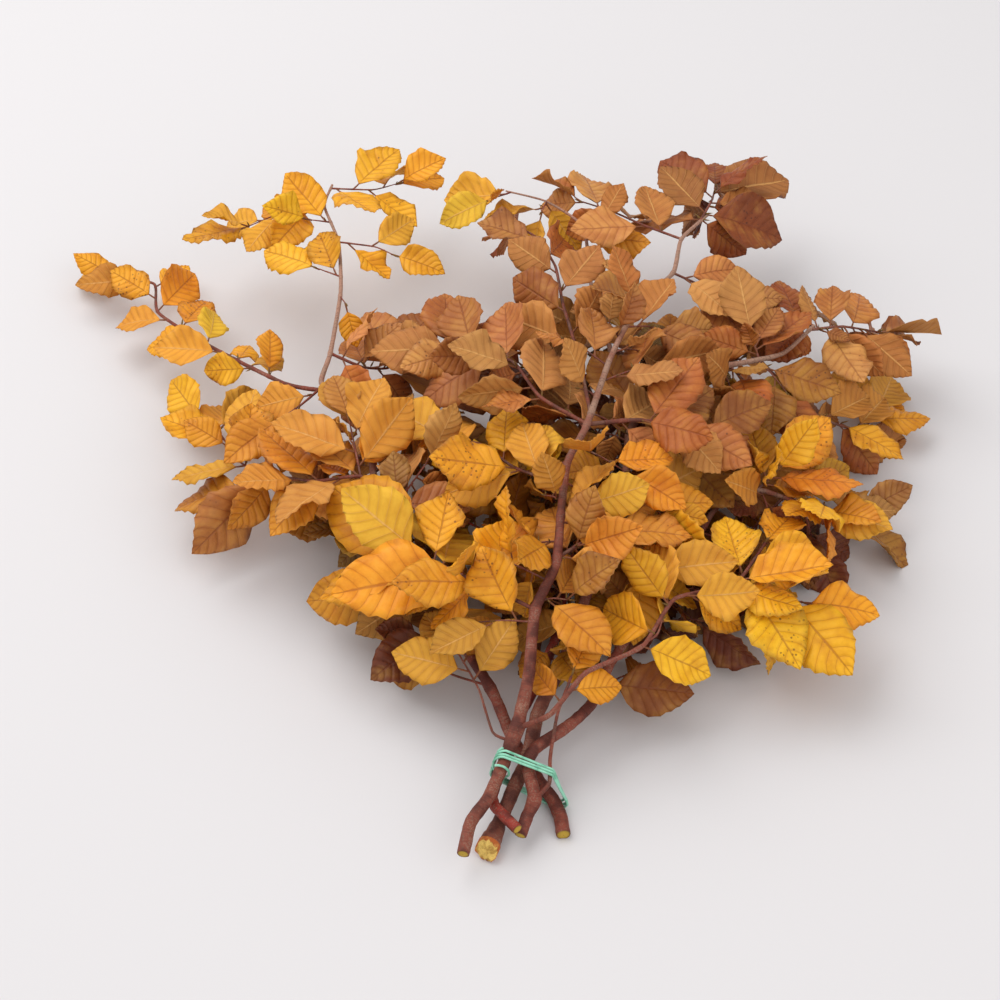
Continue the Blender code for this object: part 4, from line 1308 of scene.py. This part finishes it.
# The stem and twigs of a branch, each on a smooth curve, with its cut end
def makeWood(leaves, lines, spurs, bark, cut):
    chance = random.Random(woodLook["seed"])
    values = {"Sides": woodLook["twigSides"], "Knob Depth": woodLook["knobDepth"],
              "Lowest": woodLook["lowest"], "Material": bark}
    tree = tubeTree(values)
    budValues = {**budLook["shape"], "Material": bark}
    buds = (budTree(budValues), budValues)
    for node, branch in branches.items():
        roots = [line[0] for line in lines[node].values()]
        parts = [(branch["stem"], roots, woodLook["stemSides"], True)]
        for name, line in list(lines[node].items()) + list(spurs[node].items()):
            radius = branch["twigs"][name][0] if name in branch["twigs"] else fillLook["spurRadius"]
            spots = [leaf["root"] for leaf in leaves[node][name]]
            parts.append((tapered(line, radius), spots, woodLook["twigSides"], False))
        work = bmesh.new()
        for route, swellings, sides, isStem in parts:
            smooth = smoothRoute(route, swellings, chance)
            places = [tuple(spot) for spot, radius in smooth]
            edges = [(index, index + 1) for index in range(len(places) - 1)]
            count = len(places)
            climb = [min(1, spot[1] / woodLook["greyHeight"]) if isStem else woodLook["twigGrey"]
                     for spot in places]
            carrier = carrierMesh(node + "Route", places, edges, {
                "thickness": [radius for spot, radius in smooth],
                "redness": [woodLook["redness"][node]] * count,
                "runLength": [index * woodLook["pointStep"] for index in range(count)],
                "upTheStem": climb})
            join(work, ruled(carrier, tree, {**values, "Sides": sides}))
        join(work, budMesh(node, buds, leaves[node], {**lines[node], **spurs[node]}, chance))
        work.verts.layers.float.new("ringShare")
        work.verts.layers.float.new("tornShare")
        cutFace(work, smoothRoute(branch["stem"], [], chance), chance, node == "right_branch")
        bmesh.ops.recalc_face_normals(work, faces=work.faces)
        mesh = bpy.data.meshes.new(node + "_wood")
        work.to_mesh(mesh)
        work.free()
        mesh.materials.append(bark)
        mesh.materials.append(cut)
        finishedPiece(node + "_wood", mesh, "bark", node)


tieLook = {
    "shape": {"Sides": 12, "Knob Depth": 0.02, "Lowest": 0.2},    # inputs of the tube's tree
    "colour": linear(150, 214, 186),
    "shade": linear(96, 168, 136),
}


def tieMaterial():
    material, bench, place = newPaint("greenBand")
    cloud = bench.noise("3D", Vector=place, Scale=160.0, Detail=3.0)
    grain = bench.noise("3D", Vector=place, Scale=1800.0, Detail=2.0)
    colour = bench.blend(bench.step(cloud, 0.38, 0.68), tieLook["colour"], tieLook["shade"])
    return closePaint(material, bench, colour, 0.34 + cloud * 0.2, grain + cloud, 0.3, 0.0003)


def makeTie():
    route = bandRoute()
    places = [spot[:3] for spot in route]
    edges = [(index, index + 1) for index in range(len(route) - 1)]
    carrier = carrierMesh("tieRoute", places, edges, {"thickness": [bandRadius] * len(route)})
    values = {**tieLook["shape"], "Material": tieMaterial()}
    finishedPiece("tie_band", ruled(carrier, tubeTree(values), values), "green_band", "tie")


studio = {
    "target": (-0.043, 0.325, 0.0),
    "distance": 1.804,        # m from the target
    "tilt": 45.0,             # degrees above the floor
    "lens": 81.18,
    "floor": linear(220, 217, 218),
    "floorReach": 6.0,        # m to each side
    "floorRoughness": 0.9,
    "world": 0.66,
    "keyPlace": (-1.3, 1.1, 2.3),
    "keySize": 2.8,
    "keyPower": 50.0,
    "fillPlace": (1.3, -1.4, 1.6),
    "fillSize": 2.4,
    "fillPower": 18.0,
}


def areaLight(name, place, size, power):
    light = bpy.data.lights.new(name, "AREA")
    light.size = size
    light.energy = power
    lamp = added(name, light)
    lamp.location = place
    aim = Vector(studio["target"]) - Vector(place)
    lamp.rotation_euler = aim.to_track_quat("-Z", "Y").to_euler()


def makeStudio():
    scene = bpy.context.scene
    scene.view_settings.view_transform = "Standard"
    world = bpy.data.worlds.new("paleRoom")
    world.use_nodes = True
    background = world.node_tree.nodes["Background"]
    background.inputs["Color"].default_value = (1.0, 1.0, 1.0, 1.0)
    background.inputs["Strength"].default_value = studio["world"]
    scene.world = world
    areaLight("keyLight", studio["keyPlace"], studio["keySize"], studio["keyPower"])
    areaLight("fillLight", studio["fillPlace"], studio["fillSize"], studio["fillPower"])

    mesh = bpy.data.meshes.new("floor")
    work = bmesh.new()
    bmesh.ops.create_grid(work, x_segments=2, y_segments=2, size=studio["floorReach"])
    work.to_mesh(mesh)
    work.free()
    floor = added("floor", mesh)
    paint = bpy.data.materials.new("paleFloor")
    paint.use_nodes = True
    shader = paint.node_tree.nodes["Principled BSDF"]
    shader.inputs["Base Color"].default_value = studio["floor"]
    shader.inputs["Roughness"].default_value = studio["floorRoughness"]
    mesh.materials.append(paint)

    tilt = math.radians(studio["tilt"])
    camera = added("camera", bpy.data.cameras.new("camera"))
    camera.data.lens = studio["lens"]
    camera.data.sensor_width = 36.0
    camera.location = Vector(studio["target"]) + studio["distance"] * Vector(
        (0, -math.cos(tilt), math.sin(tilt)))
    camera.rotation_euler = (math.radians(90) - tilt, 0, 0)
    scene.camera = camera


makeStudio()
print("studio ready")
leaves, lines, clearance = placedLeaves()
print("leaves of the solids:", len(allLeaves(leaves)))
spurs = fillingLeaves(leaves, lines, clearance)
print("leaves in all:", len(allLeaves(leaves)))
makeLeaves(leaves, leafMaterial("leafUpperSide", False), leafMaterial("leafUnderside", True))
makeWood(leaves, lines, spurs, barkMaterial(), cutMaterial())
makeTie()
